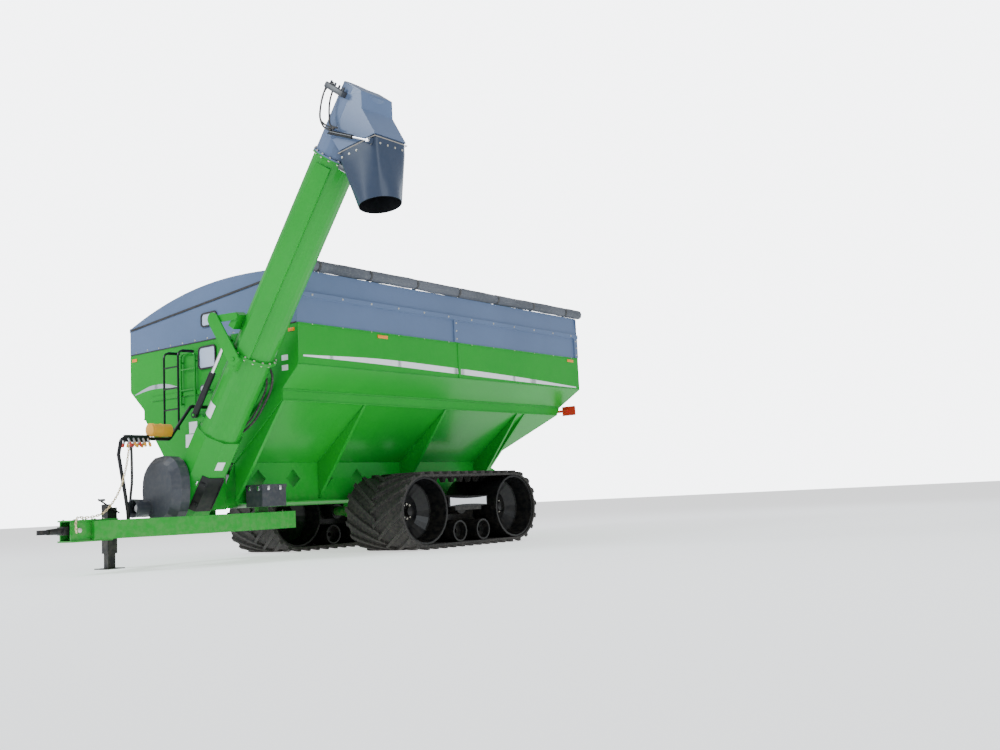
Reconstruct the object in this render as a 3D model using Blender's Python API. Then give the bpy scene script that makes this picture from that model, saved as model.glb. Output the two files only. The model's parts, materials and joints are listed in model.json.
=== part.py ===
"""A tracked farm grain cart, modelled at its real size, in metres.

The cart is built in its own frame: X is 0 on the centre plane and positive towards the side that the
auger unloads to, Y is 0 at the middle of the tracks and negative towards the hitch, and Z is 0 on the ground.
At the end everything is moved, through one empty, so that the origin is at the centre of the box's floor.
"""

import math

import bmesh
import bpy
from mathutils import Matrix, Vector

for old in list(bpy.data.objects):
    bpy.data.objects.remove(old)

GAP = 0.0003  # between pieces that touch
RUNNING = 0.0015  # round a shaft that turns
SIDES = 24  # of a large round tube

# Tank and hopper
TANK_HALF = 1.83
TANK_FRONT = -3.30
TANK_REAR = 3.09
RIM_Z = 3.025
WAIST_Z = 2.48  # the upright walls end and the hopper starts
RAIL_HALF = 1.50
RAIL_Z = 2.06
RAIL_TOP_Z = 2.19
RAIL_REAR = 2.84
SHEET = 0.008
HOPPER_FOOT_HALF = 0.52
HOPPER_FOOT_Z = 1.31
HOPPER_FOOT_REAR = 2.00
RIB_YS = (-3.27, -1.81, -0.09, 1.72)
RIB_WIDTH = 0.045
RIB_FOOT_Z = 0.80

# Boards on top of the tank
BOARD = 0.010
LOW_BOARD_Z = 3.41
STRIP_Z = 3.36
STRIP_HEIGHT = 0.07
HIGH_BOARD_Z = 3.73
ARCH_Z = 3.825
ARCH_X = 0.50
TARP_RADIUS = 0.080
TARP_OVERHANG = 0.16
WINDOW_SIZES = ((0.36, 0.30), (0.33, 0.18))
WINDOW_CENTRES = ((0.0, 2.79), (0.055, 3.31))
PANE = 0.010
PANE_LAP = 0.030

# Frame, tongue and hitch
FRAME_PLATE = 0.012
FRAME_FOOT_Z = 0.775
FRAME_FLANGE = 0.014
FRAME_LIP = 0.10  # how far the frame's lower flange stands out
FRAME_REAR = 2.30
DIAMOND_YS = (-2.91, -2.29, -1.67, -1.05)
DIAMOND_Z = 1.09
DIAMOND_HALF = 0.13
RAIL_X = 0.78  # tongue rails behind the bend
TONGUE_WIDTH = 0.127
TONGUE_Z = (0.415, 0.640)
TONGUE_BEND_Y = -3.95
TONGUE_REAR_Y = -2.55
NOSE_FRONT_Y = -5.42
NOSE_REAR_Y = -5.05
HITCH_TIP_Y = -5.76
HITCH_Z = 0.535
HITCH_PIN_Y = -5.30
HITCH_PIN_RADIUS = 0.022

# Axle and tracks
AXLE_Z = 0.60
AXLE_SIDE = 0.20
AXLE_END = 1.300
STUB_RADIUS = 0.075
TRACK_INNER = 0.80
TRACK_OUTER = 1.876
TRACK_MIDDLE = (TRACK_INNER + TRACK_OUTER) / 2
TRACK_RADIUS = 0.552
LUG_HEIGHT = 0.042
BELT_THICKNESS = 0.030
LUG_COUNT = 52
WHEEL_Y = 1.04
WHEEL_GAP = 0.156  # between the halves of a wheel, for the guide lugs and the track frame
WHEEL_CLEARANCE = 0.0020
ROLLER_RADIUS = 0.157
ROLLER_YS = (-0.27, 0.27)
SHAFT_RADIUS = 0.045
BEAM_WIDTH = 0.096

# Unloading auger: one straight line that leans towards +X, hinged in the middle
LEAN = math.radians(36.64)
AUGER_Y = -3.75
FLANGE_CENTRE = Vector((1.502, AUGER_Y, 2.62))
TUBE_RADIUS = 0.265
TUBE_WALL = 0.008
FLANGE_RADIUS = 0.308
COLLAR_RADIUS = 0.287
FLANGE = 0.018
LOWER_LENGTH = 2.46
UPPER_LENGTH = 2.67
HEAD_LENGTH = 0.86
HINGE_OFFSET = 0.36
FLIGHT_RADIUS = 0.235
FLIGHT_PITCH = 0.46
FLIGHT_STEPS = 8  # per turn
FLIGHT = 0.008
SHAFT = 0.045
BOOT_LENGTH = 1.30
BOOT_HALF = 0.285
DOOR_ALONG = (-2.185, -1.675)
DOOR_EDGE = 0.110  # from the boot's middle to the hinge edge
DOOR_FLANGE = 0.095  # the strip that the latches are on
DOOR_PLATE = 0.010

# Head and spout
RIM_X = (3.405, 3.985)
RIM_HALF_Y = 0.26
RIM_TOP_Z = 4.79
RIM_BAND = 0.125
HOOD_TOP = (3.79, 5.34)
HOOD_FOOT_Z = 5.13
SPOUT_MOUTH = Vector((3.784, AUGER_Y, 4.053))
MOUTH_RADII = (0.235, 0.262)
SPOUT_SLOPE = math.radians(6.5)

# Fold linkage, in planes square to the hinge: (across, along) from the flange centre, and how far out from it
FOLD_TURN = math.radians(10)  # how far the hinge is turned round the tube towards the front, to fold clear of the ladder
ARM_PIN = (0.032, -0.051)
ARM_END = (-0.500, 0.208)
LINK_END = (-0.225, 0.407)
CYLINDER_FOOT = (-0.254, -1.037)
CYLINDER_HEAD = (-0.248, 0.092)
ARM_OUT = 0.355
LINK_OUT = 0.328
CYLINDER_OUT = 0.275
LINK_PLATE = 0.020
HINGE_PIN_RADIUS = 0.018
ARM_PIN_RADIUS = 0.022
FOOT_PIN_RADIUS = 0.016
ROD_RADIUS = 0.025

# Drive and front gear
PTO_Z = 0.77
PTO_RADIUS = 0.030
RACK_RADIUS = 0.024
RACK_Z = 1.655
CASE_FRONT_Y = -4.28
CASE_REAR_Y = -4.06
CASE_X = 0.205
CASE_HALF = 0.395
CASE_Z = (0.545, 1.42)
BELL_LENGTH = 0.22
BELL_RADIUS = 0.120
BELL_WALL = 0.014
SUMP_Z = 0.97
SUMP_RADIUS = 0.25
SUMP_WALL = 0.006
JACK_X = -0.80
JACK_Y = -4.32
JACK_SIDE = 0.14
JACK_LEG_SIDE = 0.105
JACK_TOP_Z = 0.80
JACK_FOOT = 0.012
CRANK_ARM = 0.179
CRANK_Z = 0.819
LADDER_XS = (-0.56, -0.24)
LADDER_TOP_Z = 2.90
LADDER_REAR_Y = -3.345
LADDER_FRONT_Y = -3.62
RUNG_ZS = (2.67, 2.38, 2.09)

MATERIALS = {
    "green_paint": ((0.028, 0.300, 0.060), 0.35, 0.0),
    "grey_paint": ((0.150, 0.215, 0.330), 0.40, 0.0),
    "black_paint": ((0.012, 0.013, 0.016), 0.45, 0.0),
    "rubber": ((0.018, 0.018, 0.019), 0.85, 0.0),
    "steel": ((0.420, 0.420, 0.430), 0.30, 1.0),
    "plastic": ((0.030, 0.033, 0.040), 0.50, 0.0),
    "yellow": ((0.800, 0.420, 0.040), 0.45, 0.0),
    "zinc": ((0.720, 0.560, 0.360), 0.45, 0.6),
    "pane": ((0.450, 0.600, 0.780), 0.15, 0.0),
    "lamp_red": ((0.700, 0.030, 0.020), 0.25, 0.0),
    "tarp": ((0.180, 0.190, 0.210), 0.80, 0.0),
}

CART = bpy.data.objects.new("cart", None)
bpy.context.scene.collection.objects.link(CART)


def material(name):
    found = bpy.data.materials.get(name)
    if found:
        return found
    colour, roughness, metallic = MATERIALS[name]
    made = bpy.data.materials.new(name)
    made.use_nodes = True
    shader = made.node_tree.nodes["Principled BSDF"]
    shader.inputs["Base Color"].default_value = (*colour, 1)
    shader.inputs["Roughness"].default_value = roughness
    shader.inputs["Metallic"].default_value = metallic
    made.diffuse_color = (*colour, 1)
    return made


# Shapes: each returns a bmesh in the cart's frame


def block(low, high):
    bm = bmesh.new()
    bmesh.ops.create_cube(bm, size=1)
    size = [b - a for a, b in zip(low, high)]
    middle = [(a + b) / 2 for a, b in zip(low, high)]
    bmesh.ops.scale(bm, vec=size, verts=bm.verts)
    bmesh.ops.translate(bm, vec=middle, verts=bm.verts)
    return bm


def side_block(side, low, high):
    """A block given for the left side, or its mirror image when side is -1."""
    ends = sorted((side * low[0], side * high[0]))
    return block((ends[0], *low[1:]), (ends[1], *high[1:]))


def prism(outline, axis, start, end):
    """An outline of two coordinates, extruded along the third. On Y the outline is (x, z), on X (y, z), on Z (x, y)."""
    place = {
        "X": lambda a, b, c: (c, a, b),
        "Y": lambda a, b, c: (a, c, b),
        "Z": lambda a, b, c: (a, b, c),
    }[axis]
    bm = bmesh.new()
    face = bm.faces.new([bm.verts.new(place(a, b, start)) for a, b in outline])
    made = bmesh.ops.extrude_face_region(bm, geom=[face])
    far = [v for v in made["geom"] if isinstance(v, bmesh.types.BMVert)]
    step = Vector(place(0, 0, end)) - Vector(place(0, 0, start))
    bmesh.ops.translate(bm, vec=step, verts=far)
    bmesh.ops.recalc_face_normals(bm, faces=bm.faces)
    return bm


def turned(profile, centre, steps=32, axis=(1, 0, 0)):
    """A closed profile of (along, radius) points spun about an axis through centre."""
    bm = bmesh.new()
    vertices = [bm.verts.new((a, 0, r)) for a, r in profile]
    edges = [bm.edges.new((vertices[i - 1], v)) for i, v in enumerate(vertices)]
    bmesh.ops.spin(
        bm, geom=vertices + edges, cent=(0, 0, 0), axis=(1, 0, 0), angle=math.tau, steps=steps, use_merge=True
    )
    bmesh.ops.remove_doubles(bm, verts=bm.verts, dist=1e-6)
    bmesh.ops.recalc_face_normals(bm, faces=bm.faces)
    turn = Vector((1, 0, 0)).rotation_difference(Vector(axis)).to_matrix().to_4x4()
    bmesh.ops.transform(bm, matrix=Matrix.Translation(centre) @ turn, verts=bm.verts)
    return bm


def bar(start, end, radius, sides=16, end_radius=None):
    """A round bar between two points."""
    start, end = Vector(start), Vector(end)
    bm = bmesh.new()
    bmesh.ops.create_cone(
        bm,
        cap_ends=True,
        segments=sides,
        radius1=radius,
        radius2=radius if end_radius is None else end_radius,
        depth=(end - start).length,
    )
    turn = Vector((0, 0, 1)).rotation_difference(end - start).to_matrix().to_4x4()
    bmesh.ops.transform(bm, matrix=Matrix.Translation((start + end) / 2) @ turn, verts=bm.verts)
    return bm


def rounded(points, radius, steps=5):
    """A path with an arc of this radius at each corner."""
    points = [Vector(p) for p in points]
    path = [points[0]]
    for before, corner, after in zip(points, points[1:], points[2:]):
        way_in = (before - corner).normalized()
        way_out = (after - corner).normalized()
        half = way_in.angle(way_out) / 2
        reach = radius / math.tan(half)
        centre = corner + (way_in + way_out).normalized() * (radius / math.sin(half))
        first, last = corner + way_in * reach - centre, corner + way_out * reach - centre
        turn = first.angle(last)
        normal = first.cross(last).normalized()
        for i in range(steps + 1):
            path.append(centre + Matrix.Rotation(turn * i / steps, 3, normal) @ first)
    path.append(points[-1])
    return path


def bent_bar(points, radius, bend, resolution=2):
    """A round bar along a path with arcs at its corners, as a mesh."""
    curve = bpy.data.curves.new("path", "CURVE")
    curve.dimensions = "3D"
    curve.bevel_depth = radius
    curve.bevel_resolution = resolution
    curve.use_fill_caps = True
    spline = curve.splines.new("POLY")
    path = rounded(points, bend, 3)
    spline.points.add(len(path) - 1)
    for point, at in zip(spline.points, path):
        point.co = (*at, 1)
    helper = bpy.data.objects.new("path", curve)
    bpy.context.scene.collection.objects.link(helper)
    bpy.context.view_layer.update()
    evaluated = helper.evaluated_get(bpy.context.evaluated_depsgraph_get())
    bm = bmesh.new()
    bm.from_mesh(bpy.data.meshes.new_from_object(evaluated))
    bmesh.ops.remove_doubles(bm, verts=bm.verts, dist=1e-5)
    bmesh.ops.recalc_face_normals(bm, faces=bm.faces)
    bpy.data.objects.remove(helper)
    return bm


# Objects


def mesh_object(name, bm, finish, smooth=False):
    mesh = bpy.data.meshes.new(name)
    bm.to_mesh(mesh)
    bm.free()
    mesh.materials.append(material(finish))
    made = bpy.data.objects.new(name, mesh)
    if smooth:
        mesh.shade_smooth()
        mesh.set_sharp_from_angle(angle=math.radians(35))
    return made


def helpers(name, shapes):
    """Shapes that a Boolean reads, in a collection that isn't rendered."""
    group = bpy.data.collections.new(name)
    group.hide_render = True
    bpy.context.scene.collection.children.link(group)
    for shape in shapes:
        helper = mesh_object(name, shape, "steel")
        helper.hide_render = True
        helper.display_type = "WIRE"
        helper.parent = CART
        group.objects.link(helper)
    return group


def part(name, finish, shapes, cuts=(), pivot=(0, 0, 0), smooth=True):
    """One solid piece: the first shape, joined with the others and cut by the cuts, with its origin at pivot."""
    first, *others = shapes
    bmesh.ops.translate(first, vec=-Vector(pivot), verts=first.verts)
    made = mesh_object(name, first, finish, smooth)
    made.parent = CART
    made.location = pivot
    bpy.context.scene.collection.objects.link(made)
    for operation, shapes_used in (("UNION", others), ("DIFFERENCE", cuts)):
        if not shapes_used:
            continue
        boolean = made.modifiers.new(operation.lower(), "BOOLEAN")
        boolean.operation = operation
        boolean.solver = "EXACT"
        boolean.operand_type = "COLLECTION"
        boolean.collection = helpers(f"{name}_{operation.lower()}", shapes_used)
    return made


def folded_sheet(rows, wall):
    """A sheet through rows of points, as a closed shape. A wall below 0 is added on the side away from X = Y = 0."""
    bm = bmesh.new()
    made = [[bm.verts.new(p) for p in row] for row in rows]
    for upper, lower in zip(made, made[1:]):
        for i in range(len(upper) - 1):
            bm.faces.new((upper[i], upper[i + 1], lower[i + 1], lower[i]))
    bmesh.ops.recalc_face_normals(bm, faces=bm.faces)
    outward = sum((f.calc_center_median().x * f.normal.x + f.calc_center_median().y * f.normal.y) for f in bm.faces)
    if outward < 0:
        bmesh.ops.reverse_faces(bm, faces=bm.faces[:])
    bmesh.ops.solidify(bm, geom=bm.faces[:], thickness=wall)
    bmesh.ops.recalc_face_normals(bm, faces=bm.faces)
    return bm


def mirrored(points, side):
    return [(side * x, *rest) for x, *rest in points]


# Tank


def rear_y(z):
    """Where the rear wall's outer face is at a height."""
    corners = (
        (RIM_Z, TANK_REAR),
        (WAIST_Z, TANK_REAR),
        (RAIL_TOP_Z, RAIL_REAR + 0.08),
        (RAIL_Z, RAIL_REAR),
        (HOPPER_FOOT_Z, HOPPER_FOOT_REAR),
    )
    for (upper, y_upper), (lower, y_lower) in zip(corners, corners[1:]):
        if z >= lower:
            return y_lower + (y_upper - y_lower) * (z - lower) / (upper - lower)
    return HOPPER_FOOT_REAR


TANK_PROFILE = (
    (TANK_HALF, RIM_Z),
    (TANK_HALF, WAIST_Z),
    (RAIL_HALF, RAIL_TOP_Z),
    (RAIL_HALF, RAIL_Z),
    (HOPPER_FOOT_HALF, HOPPER_FOOT_Z),
)


def tank_sides():
    """Each side of the tank with the rail along it and the ribs that carry it, as they are welded."""
    for side, name in ((1, "left"), (-1, "right")):
        rows = [[(side * x, TANK_FRONT, z), (side * x, rear_y(z) - GAP, z)] for x, z in TANK_PROFILE]
        sheet = folded_sheet(rows, SHEET)
        rail = prism(
            mirrored(
                [
                    (RAIL_HALF - 0.004, RAIL_Z - 0.012),
                    (RAIL_HALF + 0.022, RAIL_Z - 0.012),
                    (RAIL_HALF + 0.022, RAIL_Z + 0.006),
                    (RAIL_HALF + 0.012, RAIL_Z + 0.006),
                    (RAIL_HALF + 0.012, RAIL_TOP_Z - 0.004),
                    (RAIL_HALF + 0.022, RAIL_TOP_Z - 0.004),
                    (RAIL_HALF + 0.022, RAIL_TOP_Z + 0.016),
                    (RAIL_HALF - 0.004, RAIL_TOP_Z),
                ],
                side,
            ),
            "Y",
            TANK_FRONT + GAP,
            RAIL_REAR - 0.03,
        )
        rim = side_block(
            side, (TANK_HALF - 0.05, TANK_FRONT + 0.001, RIM_Z - 0.012), (TANK_HALF + 0.012, TANK_REAR - 0.012, RIM_Z)
        )
        foot = HOPPER_FOOT_HALF + GAP
        ribs = [
            prism(
                mirrored(
                    [
                        (RAIL_HALF + 0.005, RAIL_Z - 0.004),
                        (foot, HOPPER_FOOT_Z + 0.004),
                        (foot, RIB_FOOT_Z),
                    ],
                    side,
                ),
                "Y",
                y - RIB_WIDTH / 2,
                y + RIB_WIDTH / 2,
            )
            for y in RIB_YS
        ]
        rear_rib = prism(
            mirrored(
                [
                    (RAIL_HALF + 0.005, RAIL_Z - 0.004),
                    (RAIL_HALF - 0.10, RAIL_Z - 0.075),
                    (foot, HOPPER_FOOT_Z + 0.03),
                    (foot, RIB_FOOT_Z + 0.20),
                ],
                side,
            ),
            "Y",
            HOPPER_FOOT_REAR - 0.10,
            HOPPER_FOOT_REAR - 0.10 + RIB_WIDTH,
        )
        seam = side_block(
            side, (TANK_HALF - 0.002, -0.16, WAIST_Z + 0.02), (TANK_HALF + 0.012, -0.11, RIM_Z - 0.02)
        )
        part(f"tank_side_{name}", "green_paint", [sheet, rail, rim, rear_rib, seam, *ribs])


def window_shape(index, grow, start, end):
    (width, height), (x, z) = WINDOW_SIZES[index], WINDOW_CENTRES[index]
    half_x, half_z, corner = width / 2 + grow, height / 2 + grow, 0.05 + grow
    outline = []
    for quarter, (sx, sz) in enumerate(((1, 1), (-1, 1), (-1, -1), (1, -1))):
        for step in range(4):
            angle = math.radians(90 * quarter + 30 * step)
            outline.append(
                (
                    x + sx * (half_x - corner) + corner * math.cos(angle),
                    z + sz * (half_z - corner) + corner * math.sin(angle),
                )
            )
    return prism(outline, "Y", start, end)


def tank_ends():
    outline = [(x, z) for x, z in TANK_PROFILE]
    outline += [(-x, z) for x, z in reversed(TANK_PROFILE)]
    front = prism(outline, "Y", TANK_FRONT - SHEET, TANK_FRONT - GAP)
    stiffener = prism(
        [(-1.30, 2.30), (1.30, 2.30), (1.30, 2.36), (-1.30, 2.36)], "Y", TANK_FRONT - 0.03, TANK_FRONT - SHEET + 0.002
    )
    hole = window_shape(0, -PANE_LAP, TANK_FRONT - 0.1, TANK_FRONT + 0.1)
    part("tank_front_wall", "green_paint", [front, stiffener, *fixed_ladder()], [hole])

    rows = [[(-x, rear_y(z), z), (x, rear_y(z), z)] for x, z in TANK_PROFILE]
    part("tank_rear_wall", "green_paint", [folded_sheet(rows, -SHEET)])


def boards():
    """The boards that raise the tank: both sides, and the arched ends that the tarp lies on."""
    base = RIM_Z + GAP
    outer = TANK_HALF
    for side, name, top in ((1, "left", HIGH_BOARD_Z), (-1, "right", LOW_BOARD_Z)):
        outline = [
            (outer - BOARD, base),
            (outer, base),
            (outer, STRIP_Z),
            (outer + 0.028, STRIP_Z + 0.012),
            (outer + 0.028, STRIP_Z + STRIP_HEIGHT),
            (outer - 0.004, STRIP_Z + STRIP_HEIGHT + 0.004),
        ]
        if top > STRIP_Z + STRIP_HEIGHT + 0.01:
            outline += [(outer - 0.03, top), (outer - 0.03 - BOARD, top)]
        outline += [(outer - 0.014, STRIP_Z + 0.03), (outer - BOARD, STRIP_Z)]
        board = prism(mirrored(outline, side), "Y", TANK_FRONT, TANK_REAR)
        posts = [
            side_block(side, (outer - 0.002, y - 0.05, base + 0.005), (outer + 0.022, y + 0.05, STRIP_Z + 0.02))
            for y in (-0.185, TANK_REAR - 0.06)
        ]
        part(f"side_board_{name}", "grey_paint", [board, *posts])

    high = HIGH_BOARD_Z - 0.005
    low = LOW_BOARD_Z + 0.01
    right_edge = -outer
    arch = []
    for step in range(17):
        x = outer - 0.02 + (right_edge - outer + 0.02) * step / 16
        end_z = high if x > ARCH_X else low
        span = (outer - 0.02 - ARCH_X) if x > ARCH_X else (ARCH_X - right_edge)
        arch.append((x, ARCH_Z - (ARCH_Z - end_z) * (abs(x - ARCH_X) / span) ** 2))
    outline = [(right_edge, base), (outer, base), (outer, high - 0.02), *arch]
    for name, start, end, holes in (
        ("front", TANK_FRONT - BOARD, TANK_FRONT - GAP, [1]),
        ("rear", TANK_REAR + GAP, TANK_REAR + BOARD, []),
    ):
        cuts = [window_shape(i, -PANE_LAP, start - 0.1, end + 0.1) for i in holes]
        part(f"end_board_{name}", "grey_paint", [prism(outline, "Y", start, end)], cuts)


def windows():
    for index, name, wall in ((0, "lower", SHEET), (1, "upper", BOARD)):
        face = TANK_FRONT - wall - GAP
        part(f"window_{name}", "pane", [window_shape(index, 0, face - PANE, face)])


def tarp_roll():
    x = TANK_HALF - 0.03 - BOARD / 2
    z = HIGH_BOARD_Z + GAP + TARP_RADIUS
    front, rear = TANK_FRONT - TARP_OVERHANG / 2, TANK_REAR + TARP_OVERHANG
    roll = bar((x, front, z), (x, rear, z), TARP_RADIUS, 20)
    tube = bar((x, front - 0.05, z), (x, rear + 0.05, z), 0.025, 12)
    part("tarp_roll", "tarp", [roll, tube])


def trough_outline(radius, foot_half, top):
    """A U below, opening to the hopper's feet."""
    points = [(foot_half, top)]
    for step in range(13):
        angle = math.radians(-20 - 140 * step / 12)
        points.append((radius * math.cos(angle), SUMP_Z + radius * math.sin(angle)))
    points.append((-foot_half, top))
    return points


def auger_trough():
    top = HOPPER_FOOT_Z - 0.004
    half = HOPPER_FOOT_HALF - FRAME_PLATE - 2 * GAP
    outer = prism(trough_outline(SUMP_RADIUS + SUMP_WALL, half, top), "Y", TANK_FRONT, HOPPER_FOOT_REAR)
    inner = prism(
        trough_outline(SUMP_RADIUS, half - SUMP_WALL * 1.4, top + 0.01), "Y", TANK_FRONT - 0.05, HOPPER_FOOT_REAR - SUMP_WALL
    )
    bearing = bar((0, HOPPER_FOOT_REAR - 0.002, SUMP_Z), (0, HOPPER_FOOT_REAR + 0.05, SUMP_Z), 0.08, 16)
    bore = bar(
        (0, HOPPER_FOOT_REAR - 0.05, SUMP_Z), (0, HOPPER_FOOT_REAR + 0.03, SUMP_Z), SHAFT + RUNNING, FLIGHT_STEPS * 2
    )
    part("auger_trough", "green_paint", [outer, bearing], [inner, bore])


def flow_gate():
    """The sliding plate that shuts the front of the trough under the grain."""
    z = HOPPER_FOOT_Z + 0.022
    plate = block((-0.44, TANK_FRONT + 0.05, z), (0.44, TANK_FRONT + 0.95, z + 0.008))
    lip = block((-0.44, TANK_FRONT + 0.93, z - 0.002), (0.44, TANK_FRONT + 0.95, z + 0.05))
    part("flow_gate", "steel", [plate, lip])


# Frame


def frame_sides():
    for side, name in ((1, "left"), (-1, "right")):
        outer = side * HOPPER_FOOT_HALF
        inner = side * (HOPPER_FOOT_HALF - FRAME_PLATE)
        outline = [
            (TANK_FRONT + 0.04, FRAME_FOOT_Z),
            (FRAME_REAR - 0.35, FRAME_FOOT_Z),
            (FRAME_REAR, FRAME_FOOT_Z + 0.20),
            (FRAME_REAR, HOPPER_FOOT_Z - 0.15),
            (HOPPER_FOOT_REAR - 0.05, HOPPER_FOOT_Z - GAP),
            (TANK_FRONT + 0.04, HOPPER_FOOT_Z - GAP),
        ]
        plate = prism(outline, "X", inner, outer)
        lower = side_block(
            side,
            (HOPPER_FOOT_HALF - FRAME_PLATE, TANK_FRONT + 0.04, FRAME_FOOT_Z - FRAME_FLANGE),
            (HOPPER_FOOT_HALF + FRAME_LIP, FRAME_REAR - 0.36, FRAME_FOOT_Z + 0.002),
        )
        corners = ((-1, 0), (0, -1), (1, 0), (0, 1))
        holes = [
            prism(
                [(y + DIAMOND_HALF * a, DIAMOND_Z + DIAMOND_HALF * b) for a, b in corners],
                "X",
                outer - side * 0.1,
                outer + side * 0.1,
            )
            for y in DIAMOND_YS
        ]
        part(f"frame_side_{name}", "green_paint", [plate, lower], holes, smooth=False)


def axle_beam():
    """The cross beam that the tracks rock on, its saddles under the frame, and the cross members of the tongue."""
    half = AXLE_SIDE / 2
    square = block((-TRACK_INNER + 0.05, -half, AXLE_Z - half), (TRACK_INNER - 0.05, half, AXLE_Z + half))
    stub = bar((-AXLE_END, 0, AXLE_Z), (AXLE_END, 0, AXLE_Z), STUB_RADIUS, SIDES)
    saddle_top = FRAME_FOOT_Z - FRAME_FLANGE - GAP
    saddles = [
        block((x - 0.07, -0.24, AXLE_Z + half - 0.03), (x + 0.07, 0.24, saddle_top)) for x in (-0.56, 0.56)
    ]
    part("axle_beam", "green_paint", [square, stub, *saddles])


TONGUE_FRONT_Y = NOSE_REAR_Y - 0.10
NOSE_INNER = 0.058


def tongue_face(y):
    """How far from the centre a tongue rail's outer face is, ahead of its bend."""
    start, end = NOSE_INNER + TONGUE_WIDTH * 1.14, RAIL_X + TONGUE_WIDTH / 2
    return start + (end - start) * (y - TONGUE_FRONT_Y) / (TONGUE_BEND_Y - TONGUE_FRONT_Y)


def tongue():
    low, high = TONGUE_Z
    half = TONGUE_WIDTH / 2
    for side, name in ((1, "left"), (-1, "right")):
        outline = [
            (NOSE_INNER, TONGUE_FRONT_Y),
            (tongue_face(TONGUE_FRONT_Y), TONGUE_FRONT_Y),
            (RAIL_X + half, TONGUE_BEND_Y),
            (RAIL_X + half, TONGUE_REAR_Y),
            (RAIL_X - half, TONGUE_REAR_Y),
            (RAIL_X - half, TONGUE_BEND_Y + half * 0.55),
        ]
        part(f"tongue_rail_{name}", "green_paint", [prism(mirrored(outline, side), "Z", low, high)], smooth=False)

    gap = GAP
    inner = RAIL_X - half - gap
    beam = block((-inner, TANK_FRONT + 0.30, low + 0.02), (inner, TANK_FRONT + 0.50, high))
    pads = [
        block((x - 0.04, TANK_FRONT + 0.32, high - 0.01), (x + 0.04, TANK_FRONT + 0.48, FRAME_FOOT_Z - FRAME_FLANGE - GAP))
        for x in (-HOPPER_FOOT_HALF - 0.04, HOPPER_FOOT_HALF + 0.04)
    ]
    part("tongue_cross_beam", "green_paint", [beam, *pads], smooth=False)

    top = block((-0.155, NOSE_FRONT_Y, high + GAP), (0.155, NOSE_REAR_Y + 0.25, high + GAP + 0.02))
    bottom = prism(
        [(-0.155, NOSE_FRONT_Y), (0.155, NOSE_FRONT_Y), (0.155, NOSE_REAR_Y + 0.18), (-0.155, NOSE_REAR_Y + 0.18)],
        "Z",
        low - GAP - 0.02,
        low - GAP,
    )
    cheeks = [
        block((x - 0.012, NOSE_FRONT_Y + 0.01, low - 0.01), (x + 0.012, NOSE_REAR_Y - 0.101, high + 0.01))
        for x in (-0.115, 0.115)
    ]
    back = block((-0.12, NOSE_REAR_Y - 0.125, low - 0.01), (0.12, NOSE_REAR_Y - 0.1005, high + 0.01))
    pin = bar((-0.12, HITCH_PIN_Y, HITCH_Z), (0.12, HITCH_PIN_Y, HITCH_Z), HITCH_PIN_RADIUS, 16)
    part("tongue_nose", "green_paint", [top, bottom, back, pin, *cheeks])


def hitch():
    """The hitch: a shank on a cross pin, with a ring at its end."""
    root = HITCH_PIN_Y
    shank = block((-0.075, root - 0.17, HITCH_Z - 0.05), (0.075, root + 0.045, HITCH_Z + 0.05))
    neck = bar((0, root - 0.15, HITCH_Z), (0, HITCH_TIP_Y + 0.12, HITCH_Z - 0.005), 0.045, 16, 0.034)
    eye = bar((0, HITCH_TIP_Y + 0.075, HITCH_Z - 0.033), (0, HITCH_TIP_Y + 0.075, HITCH_Z + 0.023), 0.075, 24)
    hole = bar((0, HITCH_TIP_Y + 0.075, HITCH_Z - 0.1), (0, HITCH_TIP_Y + 0.075, HITCH_Z + 0.1), 0.034, 16)
    bore = bar((-0.2, root, HITCH_Z), (0.2, root, HITCH_Z), HITCH_PIN_RADIUS + RUNNING, 16)
    part("hitch", "black_paint", [shank, neck, eye], [hole, bore], pivot=(0, root, HITCH_Z))


def jack():
    """The parking jack: a tube bracketed to the right rail, a leg that slides in it, and a side crank."""
    half, leg = JACK_SIDE / 2, JACK_LEG_SIDE / 2
    low = 0.20
    tube = block((JACK_X - half, JACK_Y - half, low), (JACK_X + half, JACK_Y + half, JACK_TOP_Z))
    bracket = prism(
        [
            (JACK_X, JACK_Y - 0.055),
            (JACK_X, JACK_Y + 0.055),
            (-tongue_face(JACK_Y + 0.055) - GAP, JACK_Y + 0.055),
            (-tongue_face(JACK_Y - 0.055) - GAP, JACK_Y - 0.055),
        ],
        "Z",
        TONGUE_Z[0] + 0.02,
        TONGUE_Z[1] - 0.02,
    )
    hollow = block(
        (JACK_X - leg - 0.002, JACK_Y - leg - 0.002, low - 0.1),
        (JACK_X + leg + 0.002, JACK_Y + leg + 0.002, JACK_TOP_Z - 0.03),
    )
    crank_y = JACK_Y - half
    housing = block((JACK_X - 0.05, crank_y - 0.015, CRANK_Z - 0.04), (JACK_X + half, crank_y + 0.06, CRANK_Z + 0.026))
    part("jack_tube", "black_paint", [tube, bracket, housing], [hollow], smooth=False)

    post = block((JACK_X - leg, JACK_Y - leg, JACK_FOOT / 2), (JACK_X + leg, JACK_Y + leg, 0.60))
    foot = block((JACK_X - 0.14, JACK_Y - 0.14, 0), (JACK_X + 0.14, JACK_Y + 0.14, JACK_FOOT))
    part("jack_leg", "black_paint", [post, foot], smooth=False)

    centre = Vector((JACK_X + half + GAP, crank_y, CRANK_Z))
    hub = bar(centre, centre + Vector((0.045, 0, 0)), 0.020, 12)
    middle = centre + Vector((0.03, 0, 0))
    way = Vector((0, -1, 0.607)).normalized()
    arm = bar(middle - way * CRANK_ARM, middle + way * CRANK_ARM, 0.012, 8)
    tip = middle + way * (CRANK_ARM - 0.024)
    grip = bar(tip - Vector((0.01, 0, 0)), tip + Vector((0.11, 0, 0)), 0.016, 10)
    part("jack_crank", "black_paint", [hub, arm, grip], pivot=centre)


# Tracks


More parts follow.
